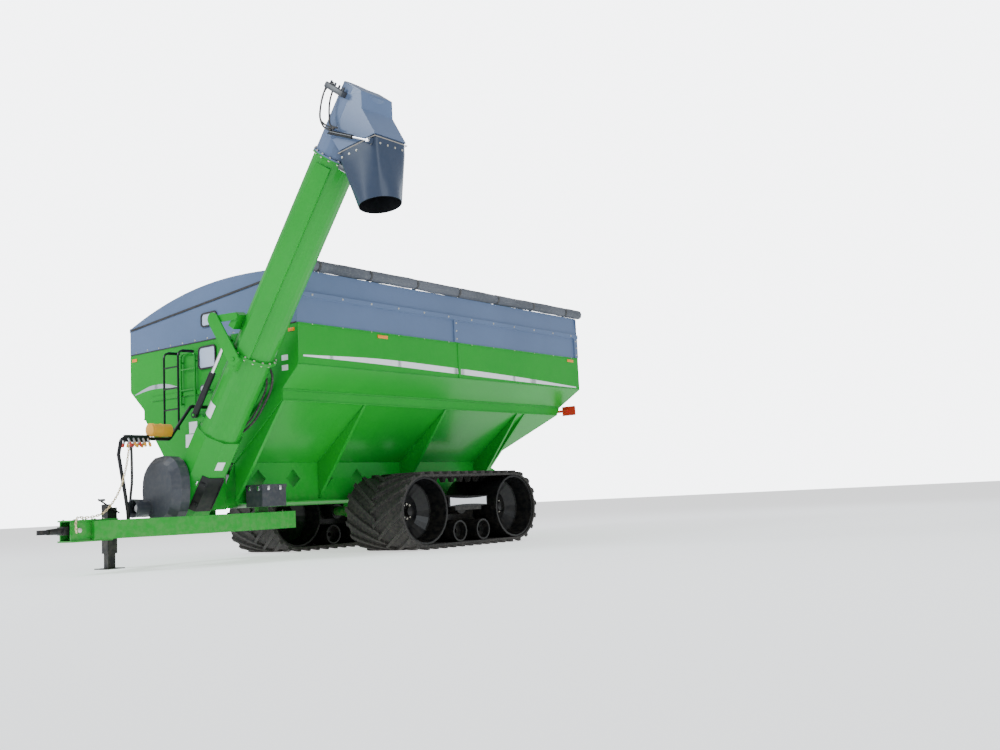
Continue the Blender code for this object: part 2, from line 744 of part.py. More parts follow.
def loop_outline(radius):
    """The plain loop round the two wheels."""
    points = []
    for end, start in ((WHEEL_Y, -90), (-WHEEL_Y, 90)):
        for step in range(ARC_STEPS + 1):
            angle = math.radians(start + 180 * step / ARC_STEPS)
            points.append((end + radius * math.cos(angle), TRACK_RADIUS + radius * math.sin(angle)))
    return points


def tread_outline(radius, lug):
    """The loop with its tread lugs at even steps along it."""
    straight = 2 * WHEEL_Y
    loop = 2 * straight + math.tau * radius
    marks = []
    lug_share = 0.42
    for i in range(LUG_COUNT):
        start = i / LUG_COUNT * loop
        width = loop / LUG_COUNT * lug_share
        marks += [(start, 0), (start + 0.15 * width, lug), (start + 0.85 * width, lug), (start + width, 0)]
    points = []
    for along, height in marks:
        along %= loop
        if along < straight:
            points.append((-WHEEL_Y + along, -radius - height))
        elif along < straight + math.pi * radius:
            angle = -math.pi / 2 + (along - straight) / radius
            points.append((WHEEL_Y + (radius + height) * math.cos(angle), (radius + height) * math.sin(angle)))
        elif along < 2 * straight + math.pi * radius:
            points.append((WHEEL_Y - (along - straight - math.pi * radius), radius + height))
        else:
            angle = math.pi / 2 + (along - 2 * straight - math.pi * radius) / radius
            points.append((-WHEEL_Y + (radius + height) * math.cos(angle), (radius + height) * math.sin(angle)))
    return [(y, z + TRACK_RADIUS) for y, z in points]


BELT_OUTER = TRACK_RADIUS - LUG_HEIGHT
BELT_INNER = BELT_OUTER - BELT_THICKNESS
ARC_STEPS = 28
WHEEL_RADIUS = BELT_INNER - WHEEL_CLEARANCE


def wheel_profile(half_width):
    """Half a wheel: a rim as wide as this, dished in from its outer side to a hub."""
    inner, outer = WHEEL_GAP / 2, half_width
    rim = WHEEL_RADIUS
    return [
        (inner, SHAFT_RADIUS - 0.01),
        (inner, rim),
        (outer, rim),
        (outer, rim - 0.028),
        (inner + 0.16, rim - 0.065),
        (inner + 0.05, 0.24),
        (inner + 0.05, SHAFT_RADIUS - 0.01),
    ]


def roller_profile(half_width):
    inner = WHEEL_GAP / 2
    return [
        (inner, SHAFT_RADIUS - 0.01),
        (inner, ROLLER_RADIUS),
        (half_width, ROLLER_RADIUS),
        (half_width, ROLLER_RADIUS - 0.025),
        (half_width - 0.10, ROLLER_RADIUS - 0.040),
        (half_width - 0.10, SHAFT_RADIUS - 0.01),
    ]


def tracks():
    half_width = (TRACK_OUTER - TRACK_INNER) / 2 - 0.019
    roller_z = TRACK_RADIUS - BELT_INNER + WHEEL_CLEARANCE + ROLLER_RADIUS
    for side, name in ((1, "left"), (-1, "right")):
        middle = side * TRACK_MIDDLE
        pivot = Vector((middle, 0, AXLE_Z))
        track_frame(name, middle, roller_z, pivot)
        belt_cut = prism(loop_outline(BELT_INNER), "X", middle - 1, middle + 1)
        part(
            f"belt_{name}",
            "rubber",
            [prism(tread_outline(BELT_OUTER, LUG_HEIGHT), "X", side * TRACK_INNER, side * TRACK_OUTER)],
            [belt_cut],
            pivot=pivot,
            smooth=False,
        )
        for y, place in ((-WHEEL_Y, "front"), (WHEEL_Y, "rear")):
            centre = (middle, y, TRACK_RADIUS)
            halves = [turned(wheel_profile(half_width), centre, SIDES, (way, 0, 0)) for way in (1, -1)]
            shaft = bar((middle - WHEEL_GAP, y, TRACK_RADIUS), (middle + WHEEL_GAP, y, TRACK_RADIUS), SHAFT_RADIUS, 16)
            part(f"wheel_{name}_{place}", "black_paint", [shaft, *halves], pivot=centre)
        for y, place in zip(ROLLER_YS, ("front", "rear")):
            centre = (middle, y, roller_z)
            halves = [turned(roller_profile(half_width - 0.03), centre, 16, (way, 0, 0)) for way in (1, -1)]
            shaft = bar((middle - 0.3, y, roller_z), (middle + 0.3, y, roller_z), SHAFT_RADIUS, 16)
            part(f"roller_{name}_{place}", "black_paint", [shaft, *halves], pivot=centre)


def track_frame(name, middle, roller_z, pivot):
    half = BEAM_WIDTH / 2
    outline = [
        (-WHEEL_Y - 0.10, TRACK_RADIUS - 0.10),
        (-0.55, roller_z - 0.075),
        (0.55, roller_z - 0.075),
        (WHEEL_Y + 0.10, TRACK_RADIUS - 0.10),
        (WHEEL_Y + 0.10, TRACK_RADIUS + 0.10),
        (0.30, AXLE_Z + 0.16),
        (-0.30, AXLE_Z + 0.16),
        (-WHEEL_Y - 0.10, TRACK_RADIUS + 0.10),
    ]
    beam = prism(outline, "X", middle - half, middle + half)
    hub = bar((middle - 0.30, 0, AXLE_Z), (middle + 0.30, 0, AXLE_Z), 0.125, 24)
    side = math.copysign(1, middle)
    guard = side_block(side, (TRACK_MIDDLE, -0.30, AXLE_Z - 0.07), (TRACK_MIDDLE + 0.44, 0.30, AXLE_Z + 0.07))
    bores = [
        bar((middle - 1, y, z), (middle + 1, y, z), SHAFT_RADIUS + RUNNING, 16)
        for y, z in ((-WHEEL_Y, TRACK_RADIUS), (WHEEL_Y, TRACK_RADIUS), *((y, roller_z) for y in ROLLER_YS))
    ]
    axle_bore = bar(
        (side * (TRACK_MIDDLE - 0.6), 0, AXLE_Z), (side * (AXLE_END + 0.005), 0, AXLE_Z), STUB_RADIUS + RUNNING, SIDES
    )
    part(f"track_frame_{name}", "black_paint", [beam, hub, guard], [*bores, axle_bore], pivot=pivot)


# Unloading auger

ALONG = Vector((math.sin(LEAN), 0, math.cos(LEAN)))
ACROSS = Vector((math.cos(LEAN), 0, -math.sin(LEAN)))
FOLD_ACROSS = ACROSS * math.cos(FOLD_TURN) + Vector((0, 1, 0)) * math.sin(FOLD_TURN)
FOLD_AXIS = ACROSS * math.sin(FOLD_TURN) - Vector((0, 1, 0)) * math.cos(FOLD_TURN)
HINGE = FLANGE_CENTRE - FOLD_ACROSS * HINGE_OFFSET


def on_auger(across, along, y=AUGER_Y):
    """A point from its place across and along the auger, from the flange centre."""
    point = FLANGE_CENTRE + ACROSS * across + ALONG * along
    return Vector((point.x, y, point.z))


def on_fold(across, along, out=0.0):
    """A point of the fold linkage, from its place in the hinge's own frame."""
    return FLANGE_CENTRE + FOLD_ACROSS * across + ALONG * along + FOLD_AXIS * out


def fold_prism(outline, start, end):
    """An outline of (across, along) points in the hinge's frame, extruded along its axis."""
    bm = bmesh.new()
    face = bm.faces.new([bm.verts.new(on_fold(a, b, start)) for a, b in outline])
    made = bmesh.ops.extrude_face_region(bm, geom=[face])
    far = [v for v in made["geom"] if isinstance(v, bmesh.types.BMVert)]
    bmesh.ops.translate(bm, vec=FOLD_AXIS * (end - start), verts=far)
    bmesh.ops.recalc_face_normals(bm, faces=bm.faces)
    return bm


def flight(start, end, radius, shaft):
    """The screw flight round a shaft, as one closed shape."""
    start, end = Vector(start), Vector(end)
    length = (end - start).length
    turns = round(length / FLIGHT_PITCH)
    bm = bmesh.new()
    inner = shaft - 0.006
    corners = [(0.02, inner), (0.02, radius), (0.02 + FLIGHT, radius), (0.02 + FLIGHT, inner)]
    vertices = [bm.verts.new((r, 0, z)) for z, r in corners]
    current = bm.faces.new(vertices)
    steps = turns * FLIGHT_STEPS
    rise = (length - 0.04 - FLIGHT) / steps
    turn = Matrix.Rotation(math.tau / FLIGHT_STEPS, 3, "Z")
    for step in range(steps):
        made = bmesh.ops.extrude_face_region(bm, geom=[current])
        if step:
            bmesh.ops.delete(bm, geom=[current], context="FACES_ONLY")
        fresh = [v for v in made["geom"] if isinstance(v, bmesh.types.BMVert)]
        current = next(f for f in made["geom"] if isinstance(f, bmesh.types.BMFace))
        bmesh.ops.rotate(bm, cent=(0, 0, 0), matrix=turn, verts=fresh)
        bmesh.ops.translate(bm, vec=(0, 0, rise), verts=fresh)
    bmesh.ops.recalc_face_normals(bm, faces=bm.faces)
    turn = Vector((0, 0, 1)).rotation_difference(end - start).to_matrix().to_4x4()
    bmesh.ops.transform(bm, matrix=Matrix.Translation(start) @ turn, verts=bm.verts)
    return bm


def boot_outline(half):
    """The boot's cross-section, an octagon round the lower tube, as (across, depth) points."""
    reach = half / math.cos(math.pi / 8)
    angles = [math.pi / 8 + math.pi / 4 * i for i in range(8)]
    return [(reach * math.cos(a), reach * math.sin(a)) for a in angles]


def along_prism(outline, start, end):
    """An outline of (across, depth) points, extruded along the auger."""
    bm = bmesh.new()
    ring = [bm.verts.new(on_auger(a, start, AUGER_Y + d)) for a, d in outline]
    face = bm.faces.new(ring)
    made = bmesh.ops.extrude_face_region(bm, geom=[face])
    far = [v for v in made["geom"] if isinstance(v, bmesh.types.BMVert)]
    bmesh.ops.translate(bm, vec=ALONG * (end - start), verts=far)
    bmesh.ops.recalc_face_normals(bm, faces=bm.faces)
    return bm


def lower_auger():
    """The lower tube with its boot, the duct from the trough, the flange and the hinge ears."""
    foot = -LOWER_LENGTH
    tube = bar(on_auger(0, foot + BOOT_LENGTH - 0.1), on_auger(0, 0), TUBE_RADIUS, SIDES)
    flange = bar(on_auger(0, -FLANGE), on_auger(0, 0), FLANGE_RADIUS, SIDES)
    boot = along_prism(boot_outline(BOOT_HALF), foot, foot + BOOT_LENGTH)
    duct = block((-0.30, AUGER_Y + 0.10, SUMP_Z - 0.27), (0.34, TANK_FRONT - SHEET - 0.001, SUMP_Z + 0.30))
    hollow = bar(on_auger(0, foot + 0.012), on_auger(0, 0.1), TUBE_RADIUS - TUBE_WALL, SIDES)
    duct_hollow = block((-0.26, AUGER_Y, SUMP_Z - 0.25), (0.26, TANK_FRONT + 0.1, SUMP_Z + 0.26))
    hinge_edge = HINGE_OFFSET + 0.035
    ears = [
        fold_prism(
            [
                (-hinge_edge, -0.05),
                (-0.24, -0.12),
                (-0.24, -0.001),
                (-FLANGE_RADIUS - 0.012, -0.001),
                (-FLANGE_RADIUS - 0.022, 0.035),
                (-hinge_edge, 0.035),
            ],
            out,
            out + 0.03,
        )
        for out in (-0.15, 0.12)
    ]
    pin = bar(HINGE - FOLD_AXIS * 0.15, HINGE + FOLD_AXIS * 0.15, HINGE_PIN_RADIUS, 12)
    across, along = ARM_PIN
    arm_mount = fold_prism(
        [(across - 0.05, -0.20), (across + 0.05, -0.20), (across + 0.05, -0.005), (across - 0.05, -0.005)],
        0.235,
        ARM_OUT - LINK_PLATE / 2 - 0.002,
    )
    arm_pin = bar(
        on_fold(*ARM_PIN, ARM_OUT - LINK_PLATE / 2 - 0.02), on_fold(*ARM_PIN, ARM_OUT + LINK_PLATE / 2 + 0.012), ARM_PIN_RADIUS, 12
    )
    across, along = CYLINDER_FOOT
    foot_mount = fold_prism(
        [
            (across - 0.035, along - 0.05),
            (across + 0.12, along - 0.05),
            (across + 0.12, along + 0.03),
            (across - 0.035, along + 0.03),
        ],
        0.10,
        CYLINDER_OUT - 0.046,
    )
    foot_pin = bar(
        on_fold(*CYLINDER_FOOT, CYLINDER_OUT - 0.06), on_fold(*CYLINDER_FOOT, CYLINDER_OUT + 0.035), FOOT_PIN_RADIUS, 12
    )
    door_hole = block((-0.05, -DOOR_EDGE + 0.02, DOOR_ALONG[0] + 0.03), (0.05, DOOR_EDGE - 0.03, DOOR_ALONG[1] - 0.03))
    bmesh.ops.translate(door_hole, vec=(BOOT_HALF, 0, 0), verts=door_hole.verts)
    bmesh.ops.transform(
        door_hole, matrix=Matrix.Translation(FLANGE_CENTRE) @ Matrix.Rotation(LEAN, 4, "Y"), verts=door_hole.verts
    )
    part(
        "lower_auger_tube",
        "green_paint",
        [tube, flange, boot, duct, *ears, pin, arm_mount, arm_pin, foot_mount, foot_pin],
        [hollow, duct_hollow, door_hole],
    )


def clean_out_door():
    """The door on the boot's underside, folded round its front corner to the latches and hinged on its rear edge."""
    low, high = DOOR_ALONG
    fold = BOOT_HALF * math.tan(math.pi / 8)  # half of one facet's width
    slant = math.sqrt(0.5)
    near, far = BOOT_HALF + GAP, BOOT_HALF + GAP + DOOR_PLATE
    corner = DOOR_PLATE * math.tan(math.pi / 8)
    outline = [
        (near, DOOR_EDGE),
        (far, DOOR_EDGE),
        (far, -fold - corner),
        (far - slant * DOOR_FLANGE, -fold - corner - slant * DOOR_FLANGE),
        (near - slant * DOOR_FLANGE, -fold - slant * DOOR_FLANGE),
        (near, -fold),
    ]
    plate = along_prism(outline, low, high)
    hinge = (BOOT_HALF + 0.012, DOOR_EDGE)
    knuckle = bar(
        on_auger(hinge[0], low + 0.03, AUGER_Y + hinge[1]), on_auger(hinge[0], high - 0.03, AUGER_Y + hinge[1]), 0.0115, 10
    )
    latches = []
    for at in (low + 0.10, high - 0.11):
        start, end = 0.020, 0.075
        strap = [
            (far - slant * share, -fold - corner - slant * share) for share in (start, end)
        ]
        strap += [(a + slant * 0.022, d - slant * 0.022) for a, d in reversed(strap)]
        strap = [(strap[0][0] - slant * 0.004, strap[0][1] + slant * 0.004), (strap[1][0] - slant * 0.004, strap[1][1] + slant * 0.004), *strap[2:]]
        latches.append(along_prism(strap, at - 0.018, at + 0.018))
    middle = (low + high) / 2
    part(
        "clean_out_door", "black_paint", [plate, knuckle, *latches], pivot=on_auger(hinge[0], middle, AUGER_Y + hinge[1])
    )


def upper_auger():
    """The upper tube, which folds down across the front of the tank."""
    tube = bar(on_auger(0, GAP), on_auger(0, UPPER_LENGTH), TUBE_RADIUS, SIDES)
    flange = bar(on_auger(0, GAP), on_auger(0, FLANGE + GAP), FLANGE_RADIUS, SIDES)
    collar = bar(on_auger(0, UPPER_LENGTH - FLANGE), on_auger(0, UPPER_LENGTH), COLLAR_RADIUS, SIDES)
    edge = HINGE_OFFSET + 0.035
    ear = fold_prism(
        [
            (-edge, -0.035),
            (-HINGE_OFFSET + 0.035, -0.035),
            (-HINGE_OFFSET + 0.04, 0.02),
            (-0.24, 0.02),
            (-0.24, 0.16),
            (-edge, 0.05),
        ],
        -0.10,
        0.10,
    )
    bore = bar(HINGE - FOLD_AXIS * 0.3, HINGE + FOLD_AXIS * 0.3, HINGE_PIN_RADIUS + RUNNING, 12)
    across, along = LINK_END
    lug = fold_prism(
        [
            (across - 0.05, along - 0.16),
            (across + 0.045, along - 0.16),
            (across + 0.045, along + 0.04),
            (across - 0.03, along + 0.04),
        ],
        0.16,
        LINK_OUT - LINK_PLATE / 2 - 0.002,
    )
    strip = block((-0.10, -0.02, 0.02), (0.10, 0.012, UPPER_LENGTH - 0.10))
    turn = Matrix.Rotation(LEAN, 4, "Y") @ Matrix.Rotation(math.radians(25), 4, "Z")
    outward = Matrix.Translation(FLANGE_CENTRE) @ turn
    bmesh.ops.translate(strip, vec=(0, -TUBE_RADIUS, 0), verts=strip.verts)
    bmesh.ops.transform(strip, matrix=outward, verts=strip.verts)
    hollow = bar(on_auger(0, -0.2), on_auger(0, UPPER_LENGTH + 0.2), TUBE_RADIUS - TUBE_WALL, SIDES)
    part("upper_auger_tube", "green_paint", [tube, flange, collar, ear, lug, strip], [hollow, bore], pivot=HINGE)


SPOUT_CYLINDER_Y = AUGER_Y - RIM_HALF_Y - 0.062
SPOUT_CYLINDER_FOOT = Vector((RIM_X[0] - 0.08, SPOUT_CYLINDER_Y, RIM_TOP_Z + 0.16))
SPOUT_CYLINDER_HEAD = Vector((RIM_X[1] - 0.055, SPOUT_CYLINDER_Y, RIM_TOP_Z - 0.087))


def upper_head():
    """The discharge hood on the end of the upper tube: a round housing with a square side outlet that looks down."""
    start = UPPER_LENGTH + GAP
    end = start + HEAD_LENGTH
    housing = bar(on_auger(0, start), on_auger(0, end), TUBE_RADIUS, SIDES)
    collar = bar(on_auger(0, start), on_auger(0, start + FLANGE), COLLAR_RADIUS, SIDES)
    x_low, x_high = RIM_X
    hood_x, hood_z = HOOD_TOP
    cap = on_auger(0, end)
    slope = -ACROSS.z / ACROSS.x
    top_left_x = cap.x - 0.02
    outline = [
        (x_low, RIM_TOP_Z - (x_high - x_low) * math.tan(SPOUT_SLOPE)),
        (x_high, RIM_TOP_Z),
        (hood_x, HOOD_FOOT_Z),
        (hood_x, hood_z),
        (top_left_x, hood_z + (hood_x - top_left_x) * slope),
        (on_auger(0, start + 0.30).x - 0.05, on_auger(0, start + 0.30).z),
    ]
    body = prism(outline, "Y", AUGER_Y - RIM_HALF_Y + 0.006, AUGER_Y + RIM_HALF_Y - 0.006)
    wall = 0.008
    room = [
        (x_low + wall, RIM_TOP_Z - 0.30),
        (x_high - wall, RIM_TOP_Z - 0.30),
        (x_high - wall * 1.5, RIM_TOP_Z - 0.02),
        (hood_x - wall, HOOD_FOOT_Z),
        (hood_x - wall, hood_z - wall * 2),
        (top_left_x, hood_z + (hood_x - top_left_x) * slope - wall * 2),
        (on_auger(0, start + 0.30).x + 0.04, on_auger(0, start + 0.30).z),
    ]
    hollow = bar(on_auger(0, start - 0.1), on_auger(0, end - 0.02), TUBE_RADIUS - TUBE_WALL, SIDES)
    hood_hollow = prism(room, "Y", AUGER_Y - RIM_HALF_Y + 0.014, AUGER_Y + RIM_HALF_Y - 0.014)
    mount = block(
        (SPOUT_CYLINDER_FOOT.x - 0.04, SPOUT_CYLINDER_Y + 0.03, SPOUT_CYLINDER_FOOT.z - 0.04),
        (SPOUT_CYLINDER_FOOT.x + 0.04, AUGER_Y - 0.10, SPOUT_CYLINDER_FOOT.z + 0.04),
    )
    pin = bar(
        SPOUT_CYLINDER_FOOT + Vector((0, -0.024, 0)),
        SPOUT_CYLINDER_FOOT + Vector((0, 0.05, 0)),
        0.012,
        10,
    )
    part("upper_auger_head", "grey_paint", [housing, collar, body, mount, pin], [hollow, hood_hollow], pivot=HINGE)


SPOUT_PIVOT = Vector((RIM_X[1], AUGER_Y, RIM_TOP_Z - 0.006))


def discharge_spout():
    """The spout that hangs from the hood: a square collar that narrows to a round mouth."""
    bm = bmesh.new()
    steps = 24
    x_low, x_high = RIM_X[0] - 0.004, RIM_X[1] + 0.004
    half_y = RIM_HALF_Y + 0.004

    def square(z_right, grow=0.0):
        ring = []
        for i in range(steps):
            angle = math.tau * (i + 0.5) / steps
            c, s = math.cos(angle), math.sin(angle)
            reach = 1 / max(abs(c), abs(s))
            x = (x_low + x_high) / 2 + (x_high - x_low) / 2 * c * reach * (1 + grow)
            y = AUGER_Y + half_y * s * reach * (1 + grow)
            ring.append(bm.verts.new((x, y, z_right - (x_high - x) * math.tan(SPOUT_SLOPE))))
        return ring

    def mouth():
        ring = []
        for i in range(steps):
            angle = math.tau * (i + 0.5) / steps
            x = MOUTH_RADII[0] * math.cos(angle)
            ring.append(bm.verts.new(SPOUT_MOUTH + Vector((x, MOUTH_RADII[1] * math.sin(angle), x * 0.18))))
        return ring

    top = RIM_TOP_Z - GAP - 0.012
    rings = [square(top), square(top - RIM_BAND), mouth()]
    for upper, lower in zip(rings, rings[1:]):
        for i in range(steps):
            bm.faces.new((upper[i - 1], upper[i], lower[i], lower[i - 1]))
    bmesh.ops.recalc_face_normals(bm, faces=bm.faces)
    outward = sum((f.calc_center_median() - SPOUT_PIVOT).to_2d().dot(f.normal.to_2d()) for f in bm.faces)
    if outward < 0:
        bmesh.ops.reverse_faces(bm, faces=bm.faces[:])
    return bm


def spout():
    shell = discharge_spout()
    bmesh.ops.solidify(shell, geom=shell.faces[:], thickness=0.006)
    bmesh.ops.recalc_face_normals(shell, faces=shell.faces)
    foot, head = SPOUT_CYLINDER_FOOT, SPOUT_CYLINDER_HEAD
    lug = block(head + Vector((-0.03, 0.016, -0.03)), (head.x + 0.03, AUGER_Y - RIM_HALF_Y + 0.002, head.z + 0.03))
    part("discharge_spout", "grey_paint", [shell, lug], pivot=SPOUT_PIVOT)

    way = (head - foot).normalized()
    eye = bar(foot + Vector((0, -0.016, 0)), foot + Vector((0, 0.016, 0)), 0.026, 12)
    body = bar(foot + way * 0.018, foot + way * 0.40, 0.026, 16)
    bore = bar(foot + Vector((0, -0.1, 0)), foot + Vector((0, 0.1, 0)), 0.012 + RUNNING, 10)
    hollow = bar(foot + way * 0.06, foot + way * 0.5, 0.012 + RUNNING, 12)
    part("spout_cylinder", "black_paint", [body, eye], [bore, hollow], pivot=foot)
    shank = bar(foot + way * 0.25, head, 0.012, 12)
    clevis = bar(head + Vector((0, -0.014, 0)), head + Vector((0, 0.014, 0)), 0.022, 12)
    part("spout_cylinder_rod", "steel", [shank, clevis], pivot=foot)


def flighting():
    base = on_auger(0, -LOWER_LENGTH + 0.03)
    top = on_auger(0, -0.03)
    shaft = bar(base, on_auger(0, -0.01), SHAFT, FLIGHT_STEPS)
    part("lower_flighting", "steel", [shaft, flight(base + ALONG * 0.15, top, FLIGHT_RADIUS, SHAFT)], pivot=base)

    base = on_auger(0, 0.03)
    top = on_auger(0, UPPER_LENGTH + 0.12)
    shaft = bar(on_auger(0, 0.01), on_auger(0, UPPER_LENGTH + HEAD_LENGTH - 0.04), SHAFT, FLIGHT_STEPS)
    part("upper_flighting", "steel", [shaft, flight(base, top, FLIGHT_RADIUS, SHAFT)], pivot=base)

    front, rear = AUGER_Y + 0.32, HOPPER_FOOT_REAR
    shaft = bar((0, front, SUMP_Z), (0, rear + 0.02, SUMP_Z), SHAFT, FLIGHT_STEPS)
    screw = flight((0, front + 0.03, SUMP_Z), (0, rear - 0.04, SUMP_Z), SUMP_RADIUS - 0.03, SHAFT)
    part("sump_flighting", "steel", [shaft, screw], pivot=(0, rear, SUMP_Z))


def fold_linkage():
    """The arm on the lower tube, its link to the upper tube, and the cylinder that drives the arm."""

    def strap(start, end, out, width):
        a, b = Vector(start), Vector(end)
        way = (b - a).normalized()
        side = Vector((-way.y, way.x)) * width / 2
        ends = []
        for centre, turn in ((a, math.pi / 2), (b, -math.pi / 2)):
            for step in range(7):
                angle = turn + math.pi * step / 6
                ends.append(centre + way * (math.cos(angle) * width / 2) + side * math.sin(angle))
        return fold_prism([tuple(p) for p in ends], out - LINK_PLATE / 2, out + LINK_PLATE / 2)

    def through(at, out, radius):
        return bar(on_fold(*at, out - 0.1), on_fold(*at, out + 0.1), radius, 12)

    arm = strap(ARM_PIN, ARM_END, ARM_OUT, 0.17)
    pin_hole = through(ARM_PIN, ARM_OUT, ARM_PIN_RADIUS + RUNNING)
    part("fold_arm", "green_paint", [arm], [pin_hole], pivot=on_fold(*ARM_PIN, ARM_OUT))
    link = strap(ARM_END, LINK_END, LINK_OUT, 0.09)
    part("fold_link", "green_paint", [link], pivot=on_fold(*ARM_END, LINK_OUT))

    foot = on_fold(*CYLINDER_FOOT, CYLINDER_OUT)
    head = on_fold(*CYLINDER_HEAD, CYLINDER_OUT)
    way = (head - foot).normalized()
    eye = bar(foot - FOLD_AXIS * 0.025, foot + FOLD_AXIS * 0.025, 0.042, 16)
    body = bar(foot + way * 0.03, foot + way * 0.62, 0.042, 20)
    bore = through(CYLINDER_FOOT, CYLINDER_OUT, FOOT_PIN_RADIUS + RUNNING)
    hollow = bar(foot + way * 0.12, foot + way * 0.8, ROD_RADIUS + RUNNING, 16)
    part("fold_cylinder", "black_paint", [body, eye], [bore, hollow], pivot=foot)
    shank = bar(foot + way * 0.50, head, ROD_RADIUS, 16)
    rod_eye = bar(head - FOLD_AXIS * 0.03, head + FOLD_AXIS * 0.03, 0.04, 16)
    part("fold_cylinder_rod", "steel", [shank, rod_eye], pivot=foot)


# Front gear


def gear_case():
    """The guard over the drive from the shaft to the augers, with the round shield in front."""
    half = CASE_HALF
    low, high = CASE_Z

    def ring(scale, y):
        outline = []
        for i in range(20):
            angle = math.tau * i / 20
            c, s = math.cos(angle), math.sin(angle)
            x = CASE_X + half * scale * math.copysign(abs(c) ** 0.75, c)
            z = (high - low) / 2 * scale * math.copysign(abs(s) ** 0.85, s)
            outline.append((x, y, (low + high) / 2 + z))
        return outline

    bm = bmesh.new()
    rings = [[bm.verts.new(p) for p in ring(s, y)] for s, y in ((0.80, CASE_FRONT_Y), (1.0, CASE_FRONT_Y + 0.09), (1.0, CASE_REAR_Y))]
    bm.faces.new(rings[0])
    bm.faces.new(rings[-1])
    for first, second in zip(rings, rings[1:]):
        for i in range(20):
            bm.faces.new((first[i - 1], first[i], second[i], second[i - 1]))
    bmesh.ops.recalc_face_normals(bm, faces=bm.faces)
    front = CASE_FRONT_Y - BELL_LENGTH
    narrow = BELL_RADIUS - 0.018
    shield = bar((0, front, PTO_Z), (0, CASE_FRONT_Y + 0.02, PTO_Z), BELL_RADIUS, SIDES, narrow)
    bell = bar((0, front - 0.01, PTO_Z), (0, CASE_FRONT_Y - 0.01, PTO_Z), BELL_RADIUS - BELL_WALL, SIDES, narrow - BELL_WALL)
    bore = bar((0, CASE_FRONT_Y - 0.05, PTO_Z), (0, CASE_REAR_Y - 0.04, PTO_Z), PTO_RADIUS + RUNNING, 16)
    part("gear_case", "plastic", [bm, shield], [bell, bore])

    shaft = bar((0, front + 0.05, PTO_Z), (0, CASE_REAR_Y - 0.06, PTO_Z), PTO_RADIUS, 16)
    yoke = bar((0, front + 0.06, PTO_Z), (0, front + 0.13, PTO_Z), 0.050, 16)
    part("pto_shaft", "steel", [shaft, yoke], pivot=(0, CASE_FRONT_Y, PTO_Z))


def hose_rack():
    """A bent bar from the tank's front wall: it carries the hose ends and the box, and hooks under the shaft's shield."""
    wall = TANK_FRONT - SHEET - GAP
    under = PTO_Z - BELL_RADIUS - RACK_RADIUS - 0.014
    route = [
        (0.03, wall, 2.095),
        (0.03, -3.62, 2.095),
        (0, -3.94, RACK_Z),
        (0, -4.65, RACK_Z),
        (0, -4.69, 1.45),
        (0, -4.60, 0.95),
        (0, CASE_FRONT_Y - BELL_LENGTH - 0.066, PTO_Z - 0.03),
        (0, CASE_FRONT_Y - BELL_LENGTH - 0.055, under),
        (0, CASE_FRONT_Y - 0.07, CASE_Z[0] - 0.035),
        (CASE_X - 0.05, CASE_FRONT_Y + 0.13, CASE_Z[0] - 0.035),
    ]
    rod = bent_bar(route, RACK_RADIUS, 0.05)
    holder = block((-0.035, -4.60, RACK_Z - 0.045), (0.035, -4.27, RACK_Z + 0.045))
    leg = block(
        (CASE_X - 0.10, CASE_FRONT_Y + 0.04, CASE_Z[0] - 0.055), (CASE_X + 0.06, CASE_REAR_Y - 0.02, CASE_Z[0] - GAP)
    )
    part("hose_rack", "black_paint", [rod, holder, leg])


def document_box():
    z = RACK_Z + RACK_RADIUS + 0.083 + 0.003
    tube = bar((0.03, -4.25, z), (0.03, -3.96, z), 0.083, 20)
    hinge = block((-0.02, -4.0, RACK_Z + RACK_RADIUS + 0.005), (0.08, -3.96, z - 0.045))
    part("document_box", "yellow", [tube, hinge])


def tool_box():
    x = HOPPER_FOOT_HALF + FRAME_LIP + GAP
    case = block((x, -3.20, 0.715), (x + 0.33, -2.80, 0.985))
    lid = block((x - 0.001, -3.21, 0.965), (x + 0.335, -2.79, 1.005))
    part("tool_box", "plastic", [case, lid], smooth=False)


def rear_lamps():
    for side, name in ((1, "left"), (-1, "right")):
        x = side * 1.66
        plate = block((x - 0.13, RAIL_REAR + 0.13, 2.04), (x + 0.13, RAIL_REAR + 0.15, 2.20))
        lens = block((x - 0.11, RAIL_REAR + 0.145, 2.06), (x + 0.11, RAIL_REAR + 0.185, 2.18))
        arm = block((min(x, side * 1.40), RAIL_REAR + 0.08, 2.10), (max(x, side * 1.40), RAIL_REAR + 0.14, 2.14))
        part(f"rear_lamp_{name}", "lamp_red", [plate, lens, arm])


def fixed_ladder():
    """The ladder that is welded to the front wall."""
    left, right = LADDER_XS
    corners = [(left, 2.17), (left, LADDER_TOP_Z), (right, LADDER_TOP_Z), (right, 2.17)]
    hoop = bent_bar([(x, LADDER_REAR_Y, z) for x, z in corners], 0.014, 0.08)
    rungs = [bar((left, LADDER_REAR_Y, z), (right, LADDER_REAR_Y, z), 0.011, 8) for z in RUNG_ZS[:2]]
    feet = [
        bar((x, LADDER_REAR_Y, z), (x, TANK_FRONT - SHEET / 2, z), 0.012, 8) for x in LADDER_XS for z in (2.19, 2.77)
    ]
    return [hoop, *rungs, *feet]


